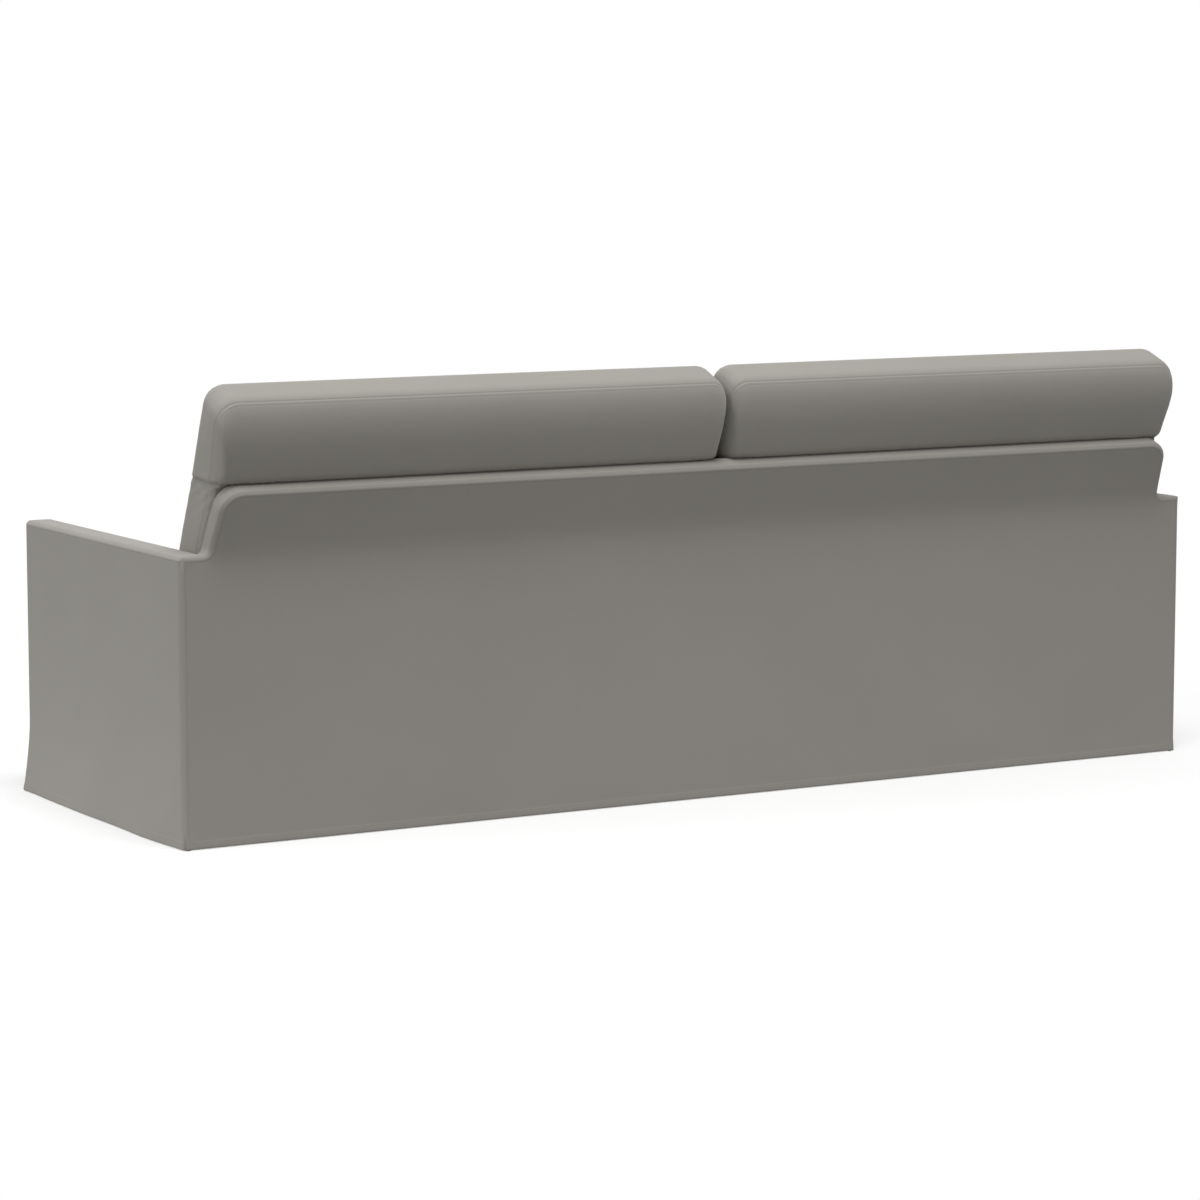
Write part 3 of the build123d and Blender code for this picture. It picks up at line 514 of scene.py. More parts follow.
def backBoxing():
    corners = shoulderPath(0)
    foot, footStep = sofa["inner"] + backBox["footPast"], backBox["footStep"]
    path = roundedLoop(
        [(foot, sofa["armTop"], 0, footStep), *corners, (-foot, sofa["armTop"], 0, footStep)], False)
    out = -inward(path, False)
    place, height, stitch = panelRun(sofa["backThick"], "seam", "seam", backBox["step"])
    lift = path + out * height[:, None, None]
    level = sofa["lean"] * smooth((path[:, 1] - sofa["armTop"]) / backBox["leanRise"])
    angle = np.minimum(level, np.interp(path[:, 1], bend["table"], bendAngle) + level)
    rows = rearPoint(lift[..., 0], lift[..., 1], np.broadcast_to(place[:, None], lift.shape[:2]), angle)
    made = gridMesh("slipcoverBackBoxing", rows, False, False, stitch[:, None], runOf(path))
    return thicken(made)


slipBackBoxing = dress(backBoxing(), "slipcover_cloth", "frame")


# Front of the backrest: each row as wide as the outline is there, from the deck up

backFace = {
    "belowDeck": 0.02, "upStep": 0.012, "acrossStep": 0.014, "trueEdge": 0.1, "uneven": 0.0012, "wave": 0.5,
}


def backFront():
    top, radius = sofa["backRise"], rear["cornerR"]
    foot = sofa["deck"] - backFace["belowDeck"]
    low = (foot - sofa["armTop"] - sofa["backThick"] * leanSin) / leanCos
    up, upHeight, upStitch = panelRun(top - low, "plain", "seam", backFace["upStep"])
    w = low + up
    across, acrossHeight, acrossStitch = panelRun(2.0, "seam", "seam", backFace["acrossStep"])
    side = across - 1.0
    half = sofa["inner"] - sofa["backTaper"] * np.clip(w / top, 0, 1)
    past = np.clip(w - (top - radius), 0, radius)
    half = half - (radius - np.sqrt(radius**2 - past**2))
    edge = 1.0 - np.abs(side)
    true = backFace["trueEdge"]  # this much at each end keeps its true width
    wide = half[:, None]
    x = np.where(edge < true, np.sign(side) * (wide - edge), side / (1 - true) * (wide - true))
    height = upHeight[:, None] + acrossHeight[None, :]
    where = np.stack(np.broadcast_arrays(x, w[:, None]), -1)
    height = height + backFace["uneven"] * ripple(where, 5, backFace["wave"])
    gap, run = stitchMaps(w, upStitch, side, acrossStitch)
    points = leanPoint(x, w[:, None], sofa["backThick"] + height)
    made = gridMesh("slipcoverBackFront", points, False, False, gap, run)
    return thicken(made)


slipBackFront = dress(backFront(), "slipcover_cloth", "frame")
print("slipcover back: 3 panels")


# Arms: an outside panel, an inside panel, and a boxing strip over the top and down the front

sideWord = {1: "Left", -1: "Right"}
arm = {
    "step": 0.011, "boxStep": 0.007, "uneven": 0.0008, "wave": 0.4, "calm": 0.08, "flareFull": 0.2,
    "sway": 0.0016, "swayRate": 13, "swayTop": 0.3, "insideLow": 0.262, "insideRear": 0.03,
    "pathStep": 0.01, "pathArc": 0.001, "bendPast": 0.004, "frontFrom": 0.5, "frontFull": 0.2,
}


def armOutside(side):
    d, dHeight, dStitch = panelRun(sofa["depth"], "seam", "seam", arm["step"])
    v, vHeight, vStitch = panelRun(sofa["armTop"] - sofa["hem"], "hem", "seam", arm["step"])
    z = (v + sofa["hem"])[:, None]
    grown = flareAt(z)
    height = vHeight[:, None] + dHeight[None, :]
    where = np.stack(np.broadcast_arrays(d[None, :], z), -1)
    calm = smooth(d / arm["calm"]) * smooth((sofa["depth"] - d) / arm["calm"])
    height = height + arm["uneven"] * ripple(where, 11 + side, arm["wave"]) * calm
    loose = np.clip(1 - z / arm["swayTop"], 0, 1) ** 2
    sway = arm["sway"] * np.sin(d * arm["swayRate"] + side) * loose * calm
    x = sofa["outer"] + grown * smooth(d / arm["flareFull"]) + height + sway
    y = sofa["rear"] - d * (sofa["depth"] + grown) / sofa["depth"]
    gap, run = stitchMaps(v, vStitch, d, dStitch)
    rows = np.stack(np.broadcast_arrays(side * x, y, z), -1)
    return thicken(gridMesh(f"slipcoverArmOutside{sideWord[side]}", rows, False, side > 0, gap, run))


def armBoxing(side):
    pace = arm["pathStep"]
    path = roundedLoop(
        [(0, sofa["armTop"], 0, pace), (sofa["depth"], sofa["armTop"], border["radius"], pace),
         (sofa["depth"], sofa["hem"], 0, pace)], False, arm["pathArc"],
    )
    length = runOf(path)
    cut = sofa["depth"] - border["radius"]
    bends = [(cut - arm["bendPast"], cut + border["radius"] * math.pi / 2 + arm["bendPast"])]
    q, qHeight, qStitch = panelRun(length[-1], "seam", "hem", arm["step"], bends)
    c, cHeight, cStitch = panelRun(sofa["outer"] - sofa["inner"], "seam", "seam", arm["boxStep"])
    d = np.interp(q, length, path[:, 0])
    z = np.interp(q, length, path[:, 1])
    away = inward(path, False)
    out = unit(np.stack([np.interp(q, length, away[:, 0]), np.interp(q, length, away[:, 1])], 1))
    height = qHeight[:, None] + cHeight[None, :]
    grown = flareAt(z) * smooth((d - arm["frontFrom"]) / arm["frontFull"])
    wide = sofa["outer"] - sofa["inner"]
    x = sofa["inner"] + c[None, :] * (wide + grown[:, None]) / wide
    y = sofa["rear"] - (d + grown)[:, None] - out[:, :1] * height
    risen = z[:, None] + out[:, 1:] * height
    gap, run = stitchMaps(q, qStitch, c, cStitch)
    rows = np.stack(np.broadcast_arrays(side * x, y, risen), -1)
    return thicken(gridMesh(f"slipcoverArmBoxing{sideWord[side]}", rows, False, side > 0, gap, run))


def armInside(side):
    d, dHeight, dStitch = panelRun(sofa["depth"] - arm["insideRear"], "plain", "seam", arm["step"])
    v, vHeight, vStitch = panelRun(sofa["armTop"] - arm["insideLow"], "plain", "seam", arm["step"])
    z = (v + arm["insideLow"])[:, None]
    height = vHeight[:, None] + dHeight[None, :]
    y = sofa["rear"] - arm["insideRear"] - d
    gap, run = stitchMaps(v, vStitch, d, dStitch)
    rows = np.stack(np.broadcast_arrays(side * (sofa["inner"] - height), y[None, :], z), -1)
    return thicken(gridMesh(f"slipcoverArmInside{sideWord[side]}", rows, False, side < 0, gap, run))


for side, word in ((1, "left"), (-1, "right")):
    outside = dress(armOutside(side), "slipcover_cloth", "frame", f"cover_{word}_arm")
    boxing = dress(armBoxing(side), "slipcover_cloth", "frame")
    inside = dress(armInside(side), "slipcover_cloth", "frame")
print("slipcover arms: 3 panels each")


# Front panel, deck and dust cloth

front = {
    "step": 0.014, "uneven": 0.0011, "wave": 0.6, "reach": sofa["inner"] + seamInset,
    "sway": 0.003, "swayRate": 9, "swayStart": 0.6, "swayTop": 0.25, "swayEnd": 0.2,
}
deckLay = {"rear": 0.15, "uneven": 0.0004, "wave": 0.35, "sink": 0.0006, "deepest": 0.0012, "calm": 0.05}
dustLay = {
    "columns": 120, "rows": 50, "edge": 0.06, "rise": 0.0005, "sag": 0.004, "uneven": 0.0015, "wave": 0.3,
    "thick": 0.0008,
}


def frontPanel():
    a, aHeight, aStitch = panelRun(2 * front["reach"], "flat", "flat", front["step"])
    v, vHeight, vStitch = panelRun(sofa["deck"] - sofa["hem"], "hem", "seam", front["step"])
    x, z = (a - front["reach"])[None, :], (v + sofa["hem"])[:, None]
    height = vHeight[:, None] + aHeight[None, :]
    where = np.stack(np.broadcast_arrays(x, z), -1)
    height = height + front["uneven"] * ripple(where, 21, front["wave"])
    loose = np.clip(1 - z / front["swayTop"], 0, 1) ** 2
    loose = loose * smooth((front["reach"] - np.abs(x)) / front["swayEnd"])
    sway = front["sway"] * np.sin(x * front["swayRate"] + front["swayStart"]) * loose
    y = sofa["rear"] - sofa["depth"] - flareAt(z) - height - sway
    gap, run = stitchMaps(v, vStitch, a, aStitch)
    points = np.stack(np.broadcast_arrays(x, y, z), -1)
    return thicken(gridMesh("slipcoverFront", points, False, False, gap, run))


def deckCloth():
    k = deckLay
    deep = sofa["depth"] - k["rear"]
    a, flatAll, aStitch = panelRun(2 * sofa["inner"], "plain", "plain", front["step"])
    d, dHeight, dStitch = panelRun(deep, "plain", "seam", front["step"])
    x, y = (a - sofa["inner"])[None, :], (sofa["rear"] - k["rear"] - d)[:, None]
    where = np.stack(np.broadcast_arrays(x, y), -1)
    calm = smooth((deep - d) / k["calm"])[:, None]
    # the cloth lies on the felt, so its waves stay above it and below the cushions
    waves = np.clip(k["uneven"] * ripple(where, 31, k["wave"]) - k["sink"], -k["deepest"], 0)
    z = sofa["deck"] + dHeight[:, None] + waves * calm
    gap, run = stitchMaps(d, dStitch, a, aStitch)
    return thicken(gridMesh("deckCloth", np.stack(np.broadcast_arrays(x, y, z), -1), False, True, gap, run))


def dustCloth():
    k = dustLay
    low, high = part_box("dust_cloth")
    x = np.linspace(low.x, high.x, k["columns"])[None, :]
    y = np.linspace(low.y, high.y, k["rows"])[:, None]
    where = np.stack(np.broadcast_arrays(x, y), -1)
    free = smooth((high.x - np.abs(x)) / k["edge"])
    free = free * smooth((y - low.y) / k["edge"]) * smooth((high.y - y) / k["edge"])
    z = low.z + k["rise"] - free * (k["sag"] + k["uneven"] * ripple(where, 41, k["wave"]))
    return thicken(gridMesh("dustCloth", np.stack(np.broadcast_arrays(x, y, z), -1)), k["thick"])


slipFront = dress(frontPanel(), "slipcover_cloth", "frame", "cover_front")
deck = dress(deckCloth(), "deck_lining", "frame", "deck_cloth")
dust = dress(dustCloth(), "dust_lining", "frame", "dust_cloth")
print("front, deck and dust cloth")


# Cushions: one closed form of rings, from the spine of one face over the boxing to the spine of the other

stitchRows = np.array([0, 0.6, 1.3, 2.2, 3.4, 5, 6.2, 7.2, 8, 8.8, 9.8, 11.5]) / 1000
sewn = {
    "rimStep": 0.005, "faceEase": 0.85, "seamDeep": 0.0009, "seamWide": 0.0018,
    "stitchAt": 0.008, "stitchDeep": 0.0004, "stitchWide": 0.0012,
}
swelling = {"frames": 20, "quality": 5, "levels": 10}


def rimRows(radius):
    half = radius * math.pi / 4
    near = stitchRows[stitchRows < half]
    rest = np.linspace(near[-1], half, max(2, round((half - near[-1]) / sewn["rimStep"])) + 1)[1:]
    away = np.concatenate([near, rest])
    gap = np.concatenate([away[::-1], -away[1:]])
    turn = math.pi / 4 - gap / radius
    return gap, radius * (1 - np.sin(turn)), radius * (1 - np.cos(turn))


def boxedForm(loop, spineHalf, spineAt, thick, lowR, highR, faceRows, stripStep):
    into = inward(loop)
    centre = (loop.min(0) + loop.max(0)) / 2
    spine = np.stack([
        np.clip(loop[:, 0], centre[0] - spineHalf, centre[0] + spineHalf), np.full(len(loop), spineAt)], 1)
    share = (np.linspace(0, 1, faceRows + 1)[:-1] ** sewn["faceEase"])[:, None, None]
    gapLow, insetLow, depthLow = rimRows(lowR)
    gapHigh, insetHigh, depthHigh = rimRows(highR)
    ringsLow = loop + into * insetLow[:, None, None]
    ringsHigh = (loop + into * insetHigh[:, None, None])[::-1]
    faceLow = spine + (ringsLow[0] - spine) * share
    faceHigh = (spine + (ringsHigh[-1] - spine) * share)[::-1]
    strip = np.linspace(lowR, thick - highR, max(2, round((thick - highR - lowR) / stripStep)) + 1)[1:-1]
    flat = np.concatenate([faceLow, ringsLow, np.repeat(loop[None], len(strip), 0), ringsHigh, faceHigh])
    depth = np.concatenate([
        np.zeros(faceRows), depthLow, strip, (thick - depthHigh)[::-1], np.full(faceRows, thick)])
    far = np.ones(faceRows)
    gap = np.concatenate([far, gapLow, np.ones(len(strip)), gapHigh[::-1], far])
    return flat, np.broadcast_to(depth[:, None], flat.shape[:2]), gap


# the cover swells: a copy is remeshed and blown up as cloth under pressure, and the form is laid on it
def swell(form, voxel, pressure, hold, reach):
    soft = bpy.data.objects.new(form.name + "Soft", form.data.copy())
    bpy.context.scene.collection.objects.link(soft)
    remesh = soft.modifiers.new("remesh", "REMESH")
    remesh.mode, remesh.voxel_size = "VOXEL", voxel
    bpy.context.view_layer.update()
    graph = bpy.context.evaluated_depsgraph_get()
    even = bpy.data.meshes.new_from_object(soft.evaluated_get(graph))
    soft.modifiers.clear()
    soft.data = even
    start = coordsOf(even)
    weight = hold(start)
    group = soft.vertex_groups.new(name="hold")
    levels = swelling["levels"]
    for level in range(1, levels + 1):
        chosen = np.nonzero(np.round(weight * levels).astype(int) == level)[0]
        group.add(chosen.tolist(), level / levels, "REPLACE")
    cloth = soft.modifiers.new("cloth", "CLOTH")
    cloth.settings.use_pressure = True
    cloth.settings.uniform_pressure_force = pressure
    cloth.settings.effector_weights.gravity = 0
    cloth.settings.vertex_group_mass = "hold"
    cloth.settings.quality = swelling["quality"]
    cloth.point_cache.frame_start, cloth.point_cache.frame_end = 1, swelling["frames"]
    scene = bpy.context.scene
    for step in range(1, swelling["frames"] + 1):
        scene.frame_set(step)
    graph = bpy.context.evaluated_depsgraph_get()
    blown = bpy.data.meshes.new_from_object(soft.evaluated_get(graph))
    move = coordsOf(blown) - start
    size = np.linalg.norm(move, axis=1, keepdims=True)
    setCoords(even, start + move * np.minimum(1, reach / np.maximum(size, 1e-9)))
    soft.modifiers.clear()
    moved = np.round(np.percentile(size, (50, 95, 100)) * 1000, 1)
    print(form.name, len(start), "points, moved", moved, "mm")
    wrap = form.modifiers.new("wrap", "SHRINKWRAP")
    wrap.target = soft
    wrap.wrap_method = "NEAREST_SURFACEPOINT"
    bpy.context.view_layer.update()
    graph = bpy.context.evaluated_depsgraph_get()
    laid = coordsOf(form.evaluated_get(graph).data)
    form.modifiers.clear()
    setCoords(form.data, laid)
    scene.frame_set(1)
    bpy.data.objects.remove(soft)


# grooves along the normal: the seam, and the stitch line beside it on the face
def sew(obj, gap, count):
    points, normal = coordsOf(obj.data), normalsOf(obj.data)
    seam = sewn["seamDeep"] * bell(gap, sewn["seamWide"])
    seam = seam + sewn["stitchDeep"] * bell(gap - sewn["stitchAt"], sewn["stitchWide"])
    setCoords(obj.data, points - normal * np.repeat(seam, count)[:, None])


backCushion = {
    "x0": 0.0035, "x1": 1.1365, "low": -0.166, "top": 0.2985, "t0": 0.0445, "t1": 0.1505, "seamT": 0.078,
    "cornerR": 0.040, "over": 0.0195, "rollTop": 0.110, "rollEnd": 0.020, "frontR": 0.022, "step": 0.009,
    "crown": 0.034, "creaseW": 0.1275, "creaseFall": 0.33, "seamTurn": 17, "voxel": 0.007, "pressure": 4.0,
    "reach": 0.022, "rows": 26, "spineIn": 0.24, "stripStep": 0.007, "fineStep": 0.0025, "fineBelow": 0.06,
    "fineAbove": 0.03, "footRise": 0.2, "footLift": 0.022, "holdBelow": -0.1,
}


# rings from the spine of the rear face over its elliptic roll and the seam, then boxing and front edge
def backCushionForm(side, name):
    k = backCushion
    mid, half = (k["x0"] + k["x1"]) / 2, (k["x1"] - k["x0"]) / 2
    fine0, fine1 = k["creaseW"] - k["fineBelow"], k["creaseW"] + k["fineAbove"]  # where the ends fold
    loop = roundedLoop([
        (-half, k["low"], k["cornerR"], k["step"]), (half, k["low"], k["cornerR"], k["step"]),
        (half, fine0, 0, k["fineStep"]), (half, fine1, 0, k["step"]),
        (half, k["top"], k["cornerR"], k["step"]), (-half, k["top"], k["cornerR"], k["step"]),
        (-half, fine1, 0, k["fineStep"]), (-half, fine0, 0, k["step"]),
    ])
    into = inward(loop)
    rearT = k["t0"] - k["over"]
    # the roll ends at a smaller loop, far below the top edge and near to the ends and the foot
    tall = (k["top"] - k["rollTop"] - k["low"] - k["rollEnd"]) / (k["top"] - k["low"])
    inner = np.stack([
        loop[:, 0] * (half - k["rollEnd"]) / half,
        k["low"] + k["rollEnd"] + (loop[:, 1] - k["low"]) * tall], 1)
    nearSeam = k["seamTurn"] + np.array([9.5, 8.6, 7.8, 7, 6, 4.5, 3.2, 2, 1, 0.4, 0, -0.4, -1, -2, -3.5])
    turn = np.radians(np.concatenate([np.linspace(90, 30, 14), nearSeam, np.linspace(10, 0, 4)]))
    rollRings = loop + (inner - loop) * (1 - np.cos(turn))[:, None, None]
    rollT = k["seamT"] - (k["seamT"] - rearT) * np.sin(turn)
    # length along the roll from the seam
    slope = np.hypot((k["seamT"] - rearT) * np.cos(turn), k["rollTop"] * np.sin(turn))
    rollGap = slope * (turn - math.radians(k["seamTurn"]))
    spineAt = (k["low"] + k["top"]) / 2
    spineX = np.clip(loop[:, 0], k["spineIn"] - half, half - k["spineIn"])
    spine = np.stack([spineX, np.full(len(loop), spineAt)], 1)
    share = (np.linspace(0, 1, k["rows"] + 1)[:-1] ** sewn["faceEase"])[:, None, None]
    rearFace = spine + (rollRings[0] - spine) * share
    strip = np.arange(k["seamT"] + k["stripStep"], k["t1"] - k["frontR"], k["stripStep"])
    gapFront, insetFront, depthFront = rimRows(k["frontR"])
    frontRings = (loop + into * insetFront[:, None, None])[::-1]
    frontFace = (spine + (frontRings[-1] - spine) * share)[::-1]
    flat = np.concatenate([rearFace, rollRings, np.repeat(loop[None], len(strip), 0), frontRings, frontFace])
    depth = np.concatenate([
        np.full(k["rows"], rearT), rollT, strip, (k["t1"] - depthFront)[::-1], np.full(k["rows"], k["t1"])])
    far = np.ones(k["rows"])
    gap = np.concatenate([far, rollGap, k["seamT"] - strip - 0.02, np.abs(gapFront[::-1]) + 0.02, far])
    x, w = flat[..., 0], flat[..., 1]
    t = np.broadcast_to(depth[:, None], x.shape)
    # below the top of the backrest the rear lies flat on it
    t = np.maximum(t, k["t0"] - k["over"] * smooth((w - sofa["backRise"] + 0.002) / 0.005))
    # the front is fullest in the middle of the face
    high = np.clip((w - k["low"]) / (k["top"] - k["low"]), 0, 1)
    fullness = (1 - np.abs(x / half) ** 3) * (1 - np.abs(2 * high - 1) ** 3)
    t = t + k["crown"] * fullness * smooth((t - k["seamT"]) / (k["t1"] - k["seamT"]))
    # the foot is level, so it slants across the lean
    foot = 1 - smooth((w - k["low"]) / k["footRise"])
    w = w - (t - k["t0"]) * leanSin / leanCos * foot + k["footLift"] * foot
    run = np.broadcast_to(runOf(loop), x.shape)
    thread = np.broadcast_to((gap - sewn["stitchAt"])[:, None], x.shape)
    form = gridMesh(name, leanPoint(side * mid + x, w, t), True, False, thread, run)
    return form, gap, x.shape


def leanOf(points):
    along = points - np.array([0, sofa["rear"], sofa["armTop"]])
    return along[:, 1] * leanSin + along[:, 2] * leanCos, -along[:, 1] * leanCos + along[:, 2] * leanSin


# held at the rear, the top and the ends, which the photograph shows drawn tight, so that the front swells
def holdBack(points):
    w, t = leanOf(points)
    return np.clip((t < backCushion["t1"]) + (w < backCushion["holdBelow"]), 0, 1)


endFold = {
    "wide": 0.075, "full": 0.07, "creaseDeep": 0.009, "creaseWide": 0.004,
    "underDeep": 0.002, "underFrom": 0.004, "lowFrom": 0.01, "lowFade": 0.12,
    "taperDeep": 0.003, "taperRise": 0.13,
    "pucker": 0.0012, "puckerRate": (190, 150), "foreFrom": 0.12, "foreFade": 0.035,
    "standOut": 0.004, "standW": 0.245, "standWide": 0.05, "standFrom": 0.085, "standFade": 0.05,
}


# the end panels draw in to a slanting crease, level with the top of the backrest at the rear, and stand
# out above it over the arm
def foldEnds(obj, side):
    k, f = backCushion, endFold
    points = coordsOf(obj.data)
    w, t = leanOf(points)
    x = points[:, 0] - side * (k["x0"] + k["x1"]) / 2
    atEnd = smooth((np.abs(x) - (k["x1"] - k["x0"]) / 2 + f["wide"]) / f["full"])
    gap = w - k["creaseW"] + (t - k["t0"]) * k["creaseFall"]
    low = 1 - smooth((-gap - f["lowFrom"]) / f["lowFade"])
    under = smooth(-gap / f["underFrom"]) * low
    taper = (1 - smooth(gap / f["taperRise"])) * low
    rateW, rateT = f["puckerRate"]
    pucker = f["pucker"] * np.sin(gap * rateW) * np.sin(t * rateT) * under
    crease = f["creaseDeep"] * bell(gap, f["creaseWide"])
    depth = crease + f["underDeep"] * under + f["taperDeep"] * taper + pucker
    depth = depth * (1 - smooth((t - f["foreFrom"]) / f["foreFade"]))
    stand = f["standOut"] * bell(w - f["standW"], f["standWide"])
    stand = stand * (1 - smooth((t - f["standFrom"]) / f["standFade"])) * (x * side > 0)
    points[:, 0] -= np.sign(x) * (depth - stand) * atEnd
    setCoords(obj.data, points)


for side, word in ((1, "left"), (-1, "right")):
    form, gap, shape = backCushionForm(side, f"backCushion{word.title()}")
    swell(form, backCushion["voxel"], backCushion["pressure"], holdBack, backCushion["reach"])
    foldEnds(form, side)
    sew(form, gap, shape[1])
    weld(form)
    dress(form, "cushion_cloth", f"back_cushion_{word}", f"back_cushion_{word}_cover")


seatCushion = {
    "x0": 0.0035, "x1": 1.1355, "rear": 0.169, "nose": 0.803, "low": 0.2836, "high": 0.4483, "frontR": 0.042,
    "edgeR": 0.022, "lowR": 0.016, "step": 0.010, "crown": 0.010, "voxel": 0.007, "pressure": 4.0,
    "reach": 0.022, "rows": 28, "spineIn": 0.3, "stripStep": 0.010, "rearCornerMore": 0.002,
    "holdBelow": 0.29, "holdRear": 0.012, "holdEnds": 0.560,
}


def seatCushionForm(side, name):
    k = seatCushion
    mid, half = (k["x0"] + k["x1"]) / 2, (k["x1"] - k["x0"]) / 2
    y0, y1 = sofa["rear"] - k["nose"], sofa["rear"] - k["rear"]
    rearR = k["edgeR"] + k["rearCornerMore"]
    loop = roundedLoop([
        (-half, y0, k["frontR"], k["step"]), (half, y0, k["frontR"], k["step"]),
        (half, y1, rearR, k["step"]), (-half, y1, rearR, k["step"]),
    ])
    thick = k["high"] - k["low"]
    flat, depth, gap = boxedForm(
        loop, half - k["spineIn"], (y0 + y1) / 2, thick, k["lowR"], k["edgeR"], k["rows"], k["stripStep"])
    x, y = flat[..., 0], flat[..., 1]
    deep = np.abs(2 * (y - y0) / (y1 - y0) - 1)
    fullness = (1 - np.abs(x / half) ** 3) * (1 - deep**3)
    z = k["low"] + depth + k["crown"] * fullness * smooth((depth / thick - 0.5) * 2)
    thread = np.broadcast_to((gap - sewn["stitchAt"])[:, None], x.shape)
    run = np.broadcast_to(runOf(loop), x.shape)
    form = gridMesh(name, np.stack([side * mid + x, y, z], -1), True, False, thread, run)
    return form, gap, x.shape


# held below, at the rear with its zip and at the ends, so that the top and the nose swell
def holdSeat(points):
    k = seatCushion
    rearEdge = points[:, 1] > sofa["rear"] - k["rear"] - k["holdRear"]
    ends = np.abs(np.abs(points[:, 0]) - (k["x0"] + k["x1"]) / 2) > k["holdEnds"]
    return np.clip((points[:, 2] < k["holdBelow"]) * 1.0 + rearEdge + ends, 0, 1)


for side, word in ((1, "left"), (-1, "right")):
    form, gap, shape = seatCushionForm(side, f"seatCushion{word.title()}")
    swell(form, seatCushion["voxel"], seatCushion["pressure"], holdSeat, seatCushion["reach"])
    sew(form, gap, shape[1])
    weld(form)
    dress(form, "cushion_cloth", f"seat_cushion_{word}", f"seat_cushion_{word}_cover")
print("cushions: 4")


# Zips: a tape with a raised middle, carried along x, and two staggered rows of teeth

zipper = {
    "pitch": 0.0034, "tooth": (0.0021, 0.0036, 0.0012), "stagger": 0.0011, "columns": 160, "thick": 0.0008,
    "across": np.array([-12, -3.9, -3.3, -0.5, -0.35, 0.35, 0.5, 3.3, 3.9, 12]) / 12,
    "rise": np.array([0, 0, 0.25, 0.25, -0.25, -0.25, 0.25, 0.25, 0, 0]) / 1000,
}
cubeCorners = np.array([(x, y, z) for x in (-1, 1) for y in (-1, 1) for z in (-1, 1)]) / 2
cubeFaces = np.array([(0, 1, 3, 2), (4, 6, 7, 5), (0, 4, 5, 1), (2, 3, 7, 6), (0, 2, 6, 4), (1, 5, 7, 3)])


def zipPieces(node, name, out, across):
    low, high = (np.array(v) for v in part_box(node))
    centre, half = (low + high) / 2, (high - low) / 2
    out, across = np.array(out, float), np.array(across, float)
    face = centre + out * abs(half @ out)
    x = np.linspace(-half[0], half[0], zipper["columns"])[:, None, None] * np.array([1, 0, 0])
    band = zipper["across"][:, None] * abs(half @ across) * across + zipper["rise"][:, None] * out
    tape = thicken(gridMesh(name + "Tape", face + x + band), zipper["thick"])
    count = int(2 * half[0] / zipper["pitch"])
    rank = np.arange(count)
    along = (rank - (count - 1) / 2) * zipper["pitch"]
    row = np.where(rank % 2, 1, -1)[:, None] * zipper["stagger"]
    places = along[:, None] * np.array([1, 0, 0]) + row * across
    tooth = zipper["tooth"]
    size = tooth[0] * np.array([1, 0, 0]) + tooth[1] * np.abs(across) + tooth[2] * np.abs(out)
    corners = face + places[:, None] + cubeCorners * size
    faces = (cubeFaces + 8 * rank[:, None, None]).reshape(-1, 4)
    mesh = bpy.data.meshes.new(name + "Teeth")
    mesh.from_pydata(corners.reshape(-1, 3).tolist(), [], faces.tolist())
    teeth = bpy.data.objects.new(name + "Teeth", mesh)
    bpy.context.scene.collection.objects.link(teeth)
    return tape, teeth


for word in ("left", "right"):
    for kind, out, across in (("seat", (0, 1, 0), (0, 0, 1)), ("back", (0, 0, -1), (0, 1, 0))):
        body, node = f"{kind}_cushion_{word}", f"{kind}_cushion_{word}_zip"
        tape, teeth = zipPieces(node, f"{kind}Zip{word.title()}", out, across)
        dress(tape, "zip_tape", body, node)
        dress(teeth, "zip_metal", body)
print("zips: 4")


# Stage: pale floor, white backdrop to the camera, soft light from above and from the left of the picture

stage = {
    "half": 6.0, "fadeFrom": 1.3, "fadeTo": 2.6, "floorColour": (0.90, 0.90, 0.90), "floorGlow": 0.10,
    "floorCover": 0.45, "skyLow": 0.16, "skyHigh": 0.55, "skyFrom": -0.3, "skyTo": 0.5,
}
floorMesh = bpy.data.meshes.new("floor")
floorMesh.from_pydata(
    [(-stage["half"], -stage["half"], 0), (stage["half"], -stage["half"], 0),
     (stage["half"], stage["half"], 0), (-stage["half"], stage["half"], 0)], [], [(0, 1, 2, 3)])
floor = bpy.data.objects.new("floor", floorMesh)
bpy.context.scene.collection.objects.link(floor)
floorLook, floorShader, floorWhere = material("floorPaint", 0.9)
floorTint = floorWhere.noise(floorWhere, 3.0).mix(
    tinted(stage["floorColour"], 0.99), tinted(stage["floorColour"], 1.01))
plug(floorTint, floorShader, "Base Color")
reachOut = floorWhere.node("ShaderNodeVectorMath", {"operation": "LENGTH"}, {0: floorWhere}, 1)
fade = floorWhere.node("ShaderNodeMapRange", {"interpolation_type": "SMOOTHSTEP"}, {
    0: reachOut, 1: stage["fadeFrom"], 2: stage["fadeTo"], 3: stage["floorCover"], 4: 0.0})
plug(fade, floorShader, "Alpha")
floorShader.inputs["Emission Color"].default_value = (1, 1, 1, 1)
floorShader.inputs["Emission Strength"].default_value = stage["floorGlow"]
floorMesh.materials.append(floorLook)

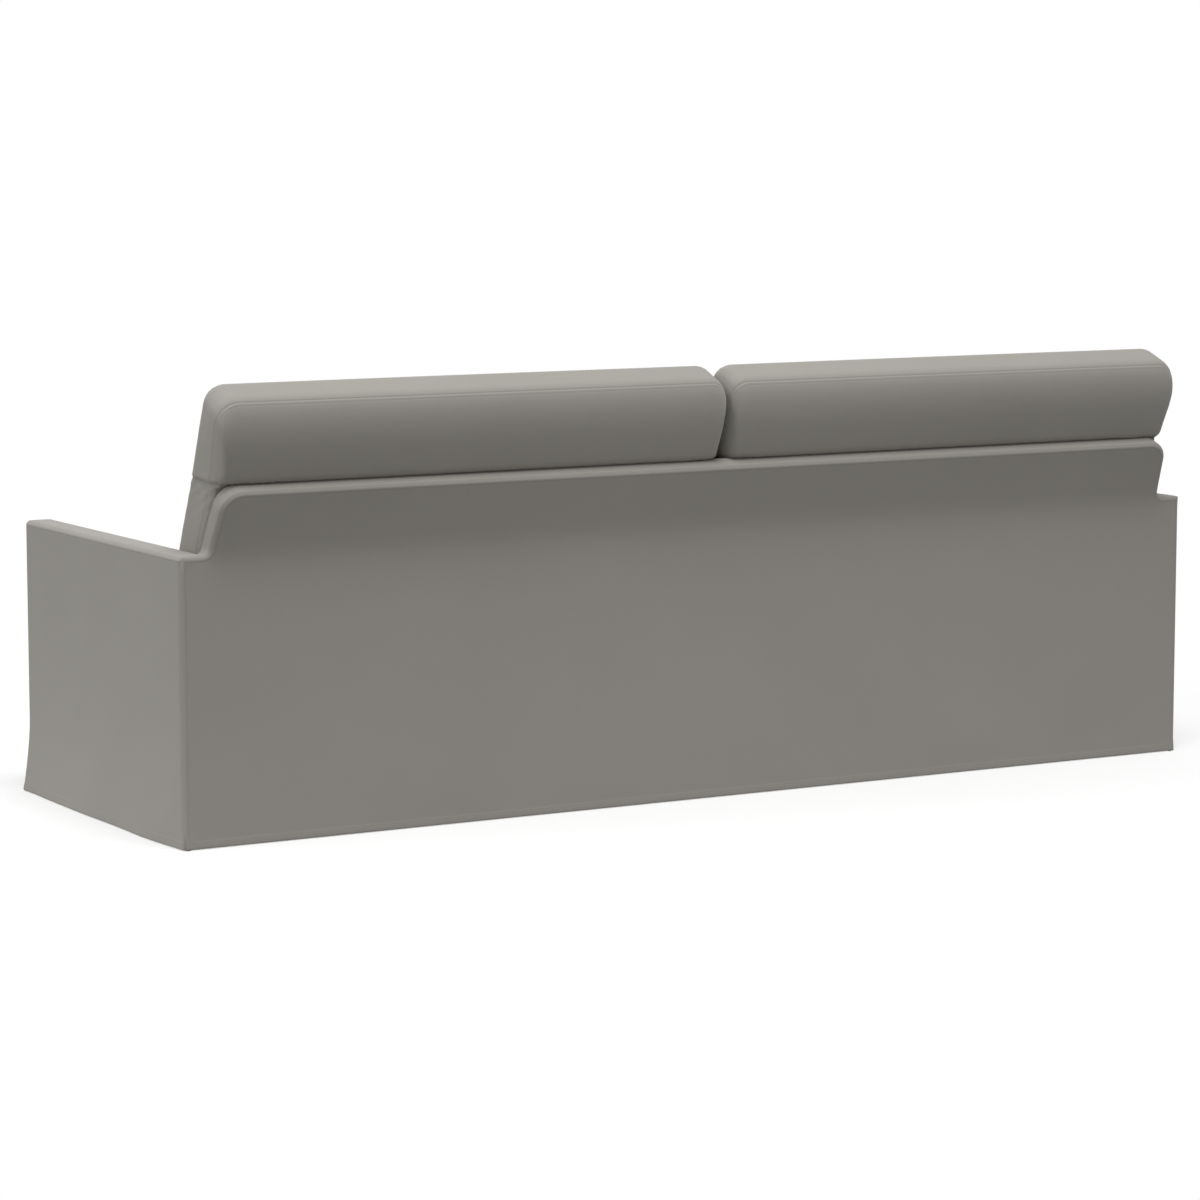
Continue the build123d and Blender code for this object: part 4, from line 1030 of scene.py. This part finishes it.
world = bpy.data.worlds.new("studio")
bpy.context.scene.world = world
world.use_nodes = True
sky = Wire(world.node_tree, None)
seen = sky.node("ShaderNodeLightPath", {}, {}, 0)
glossy = sky.node("ShaderNodeLightPath", {}, {}, 3)
through = sky.node("ShaderNodeLightPath", {}, {}, 6)
straight = sky.math("MINIMUM", seen + glossy + through, 1.0)
backdrop = world.node_tree.nodes["Background"]
backdrop.inputs["Color"].default_value = (1, 1, 1, 1)
heading = sky.node("ShaderNodeTexCoord", {}, {}, 0)
rising = sky.node("ShaderNodeSeparateXYZ", {}, {0: heading}, 2)
dome = sky.node("ShaderNodeMapRange", {"interpolation_type": "SMOOTHSTEP"}, {
    0: rising, 1: stage["skyFrom"], 2: stage["skyTo"], 3: stage["skyLow"], 4: stage["skyHigh"]})
world.node_tree.links.new((straight * (1 - dome) + dome).socket, backdrop.inputs["Strength"])


def softBox(name, place, aim, size, power):
    lamp = bpy.data.lights.new(name, "AREA")
    lamp.shape, lamp.size, lamp.energy = "DISK", size, power
    shown = bpy.data.objects.new(name, lamp)
    shown.location = place
    away = np.array(place) - np.array(aim)
    tilt = math.atan2(math.hypot(away[0], away[1]), away[2])
    shown.rotation_euler = (tilt, 0, math.atan2(away[0], -away[1]))
    bpy.context.scene.collection.objects.link(shown)


softBox("overhead", (0, -0.6, 5.0), (0, 0, 0.4), 3.0, 12)
softBox("rearKey", (0.8, 2.75, 7.8), (0, 0, 0.5), 3.0, 368)
softBox("side", (6.2, -0.6, 2.4), (0, 0, 0.4), 3.0, 92)

view = bpy.context.scene.view_settings
view.view_transform = "Standard"

camera = {"place": (4.2444, 6.887 + sofa["rear"], 1.4292), "yaw": 209.953, "pitch": -7.162, "lens": 118.629}
eye = bpy.data.cameras.new("camera")
eye.lens, eye.sensor_width = camera["lens"], 36.0
eyeHolder = bpy.data.objects.new("camera", eye)
eyeHolder.location = camera["place"]
eyeHolder.rotation_euler = (math.radians(90 + camera["pitch"]), 0, math.radians(-camera["yaw"]))
bpy.context.scene.collection.objects.link(eyeHolder)
bpy.context.scene.camera = eyeHolder
print("stage, light and camera")
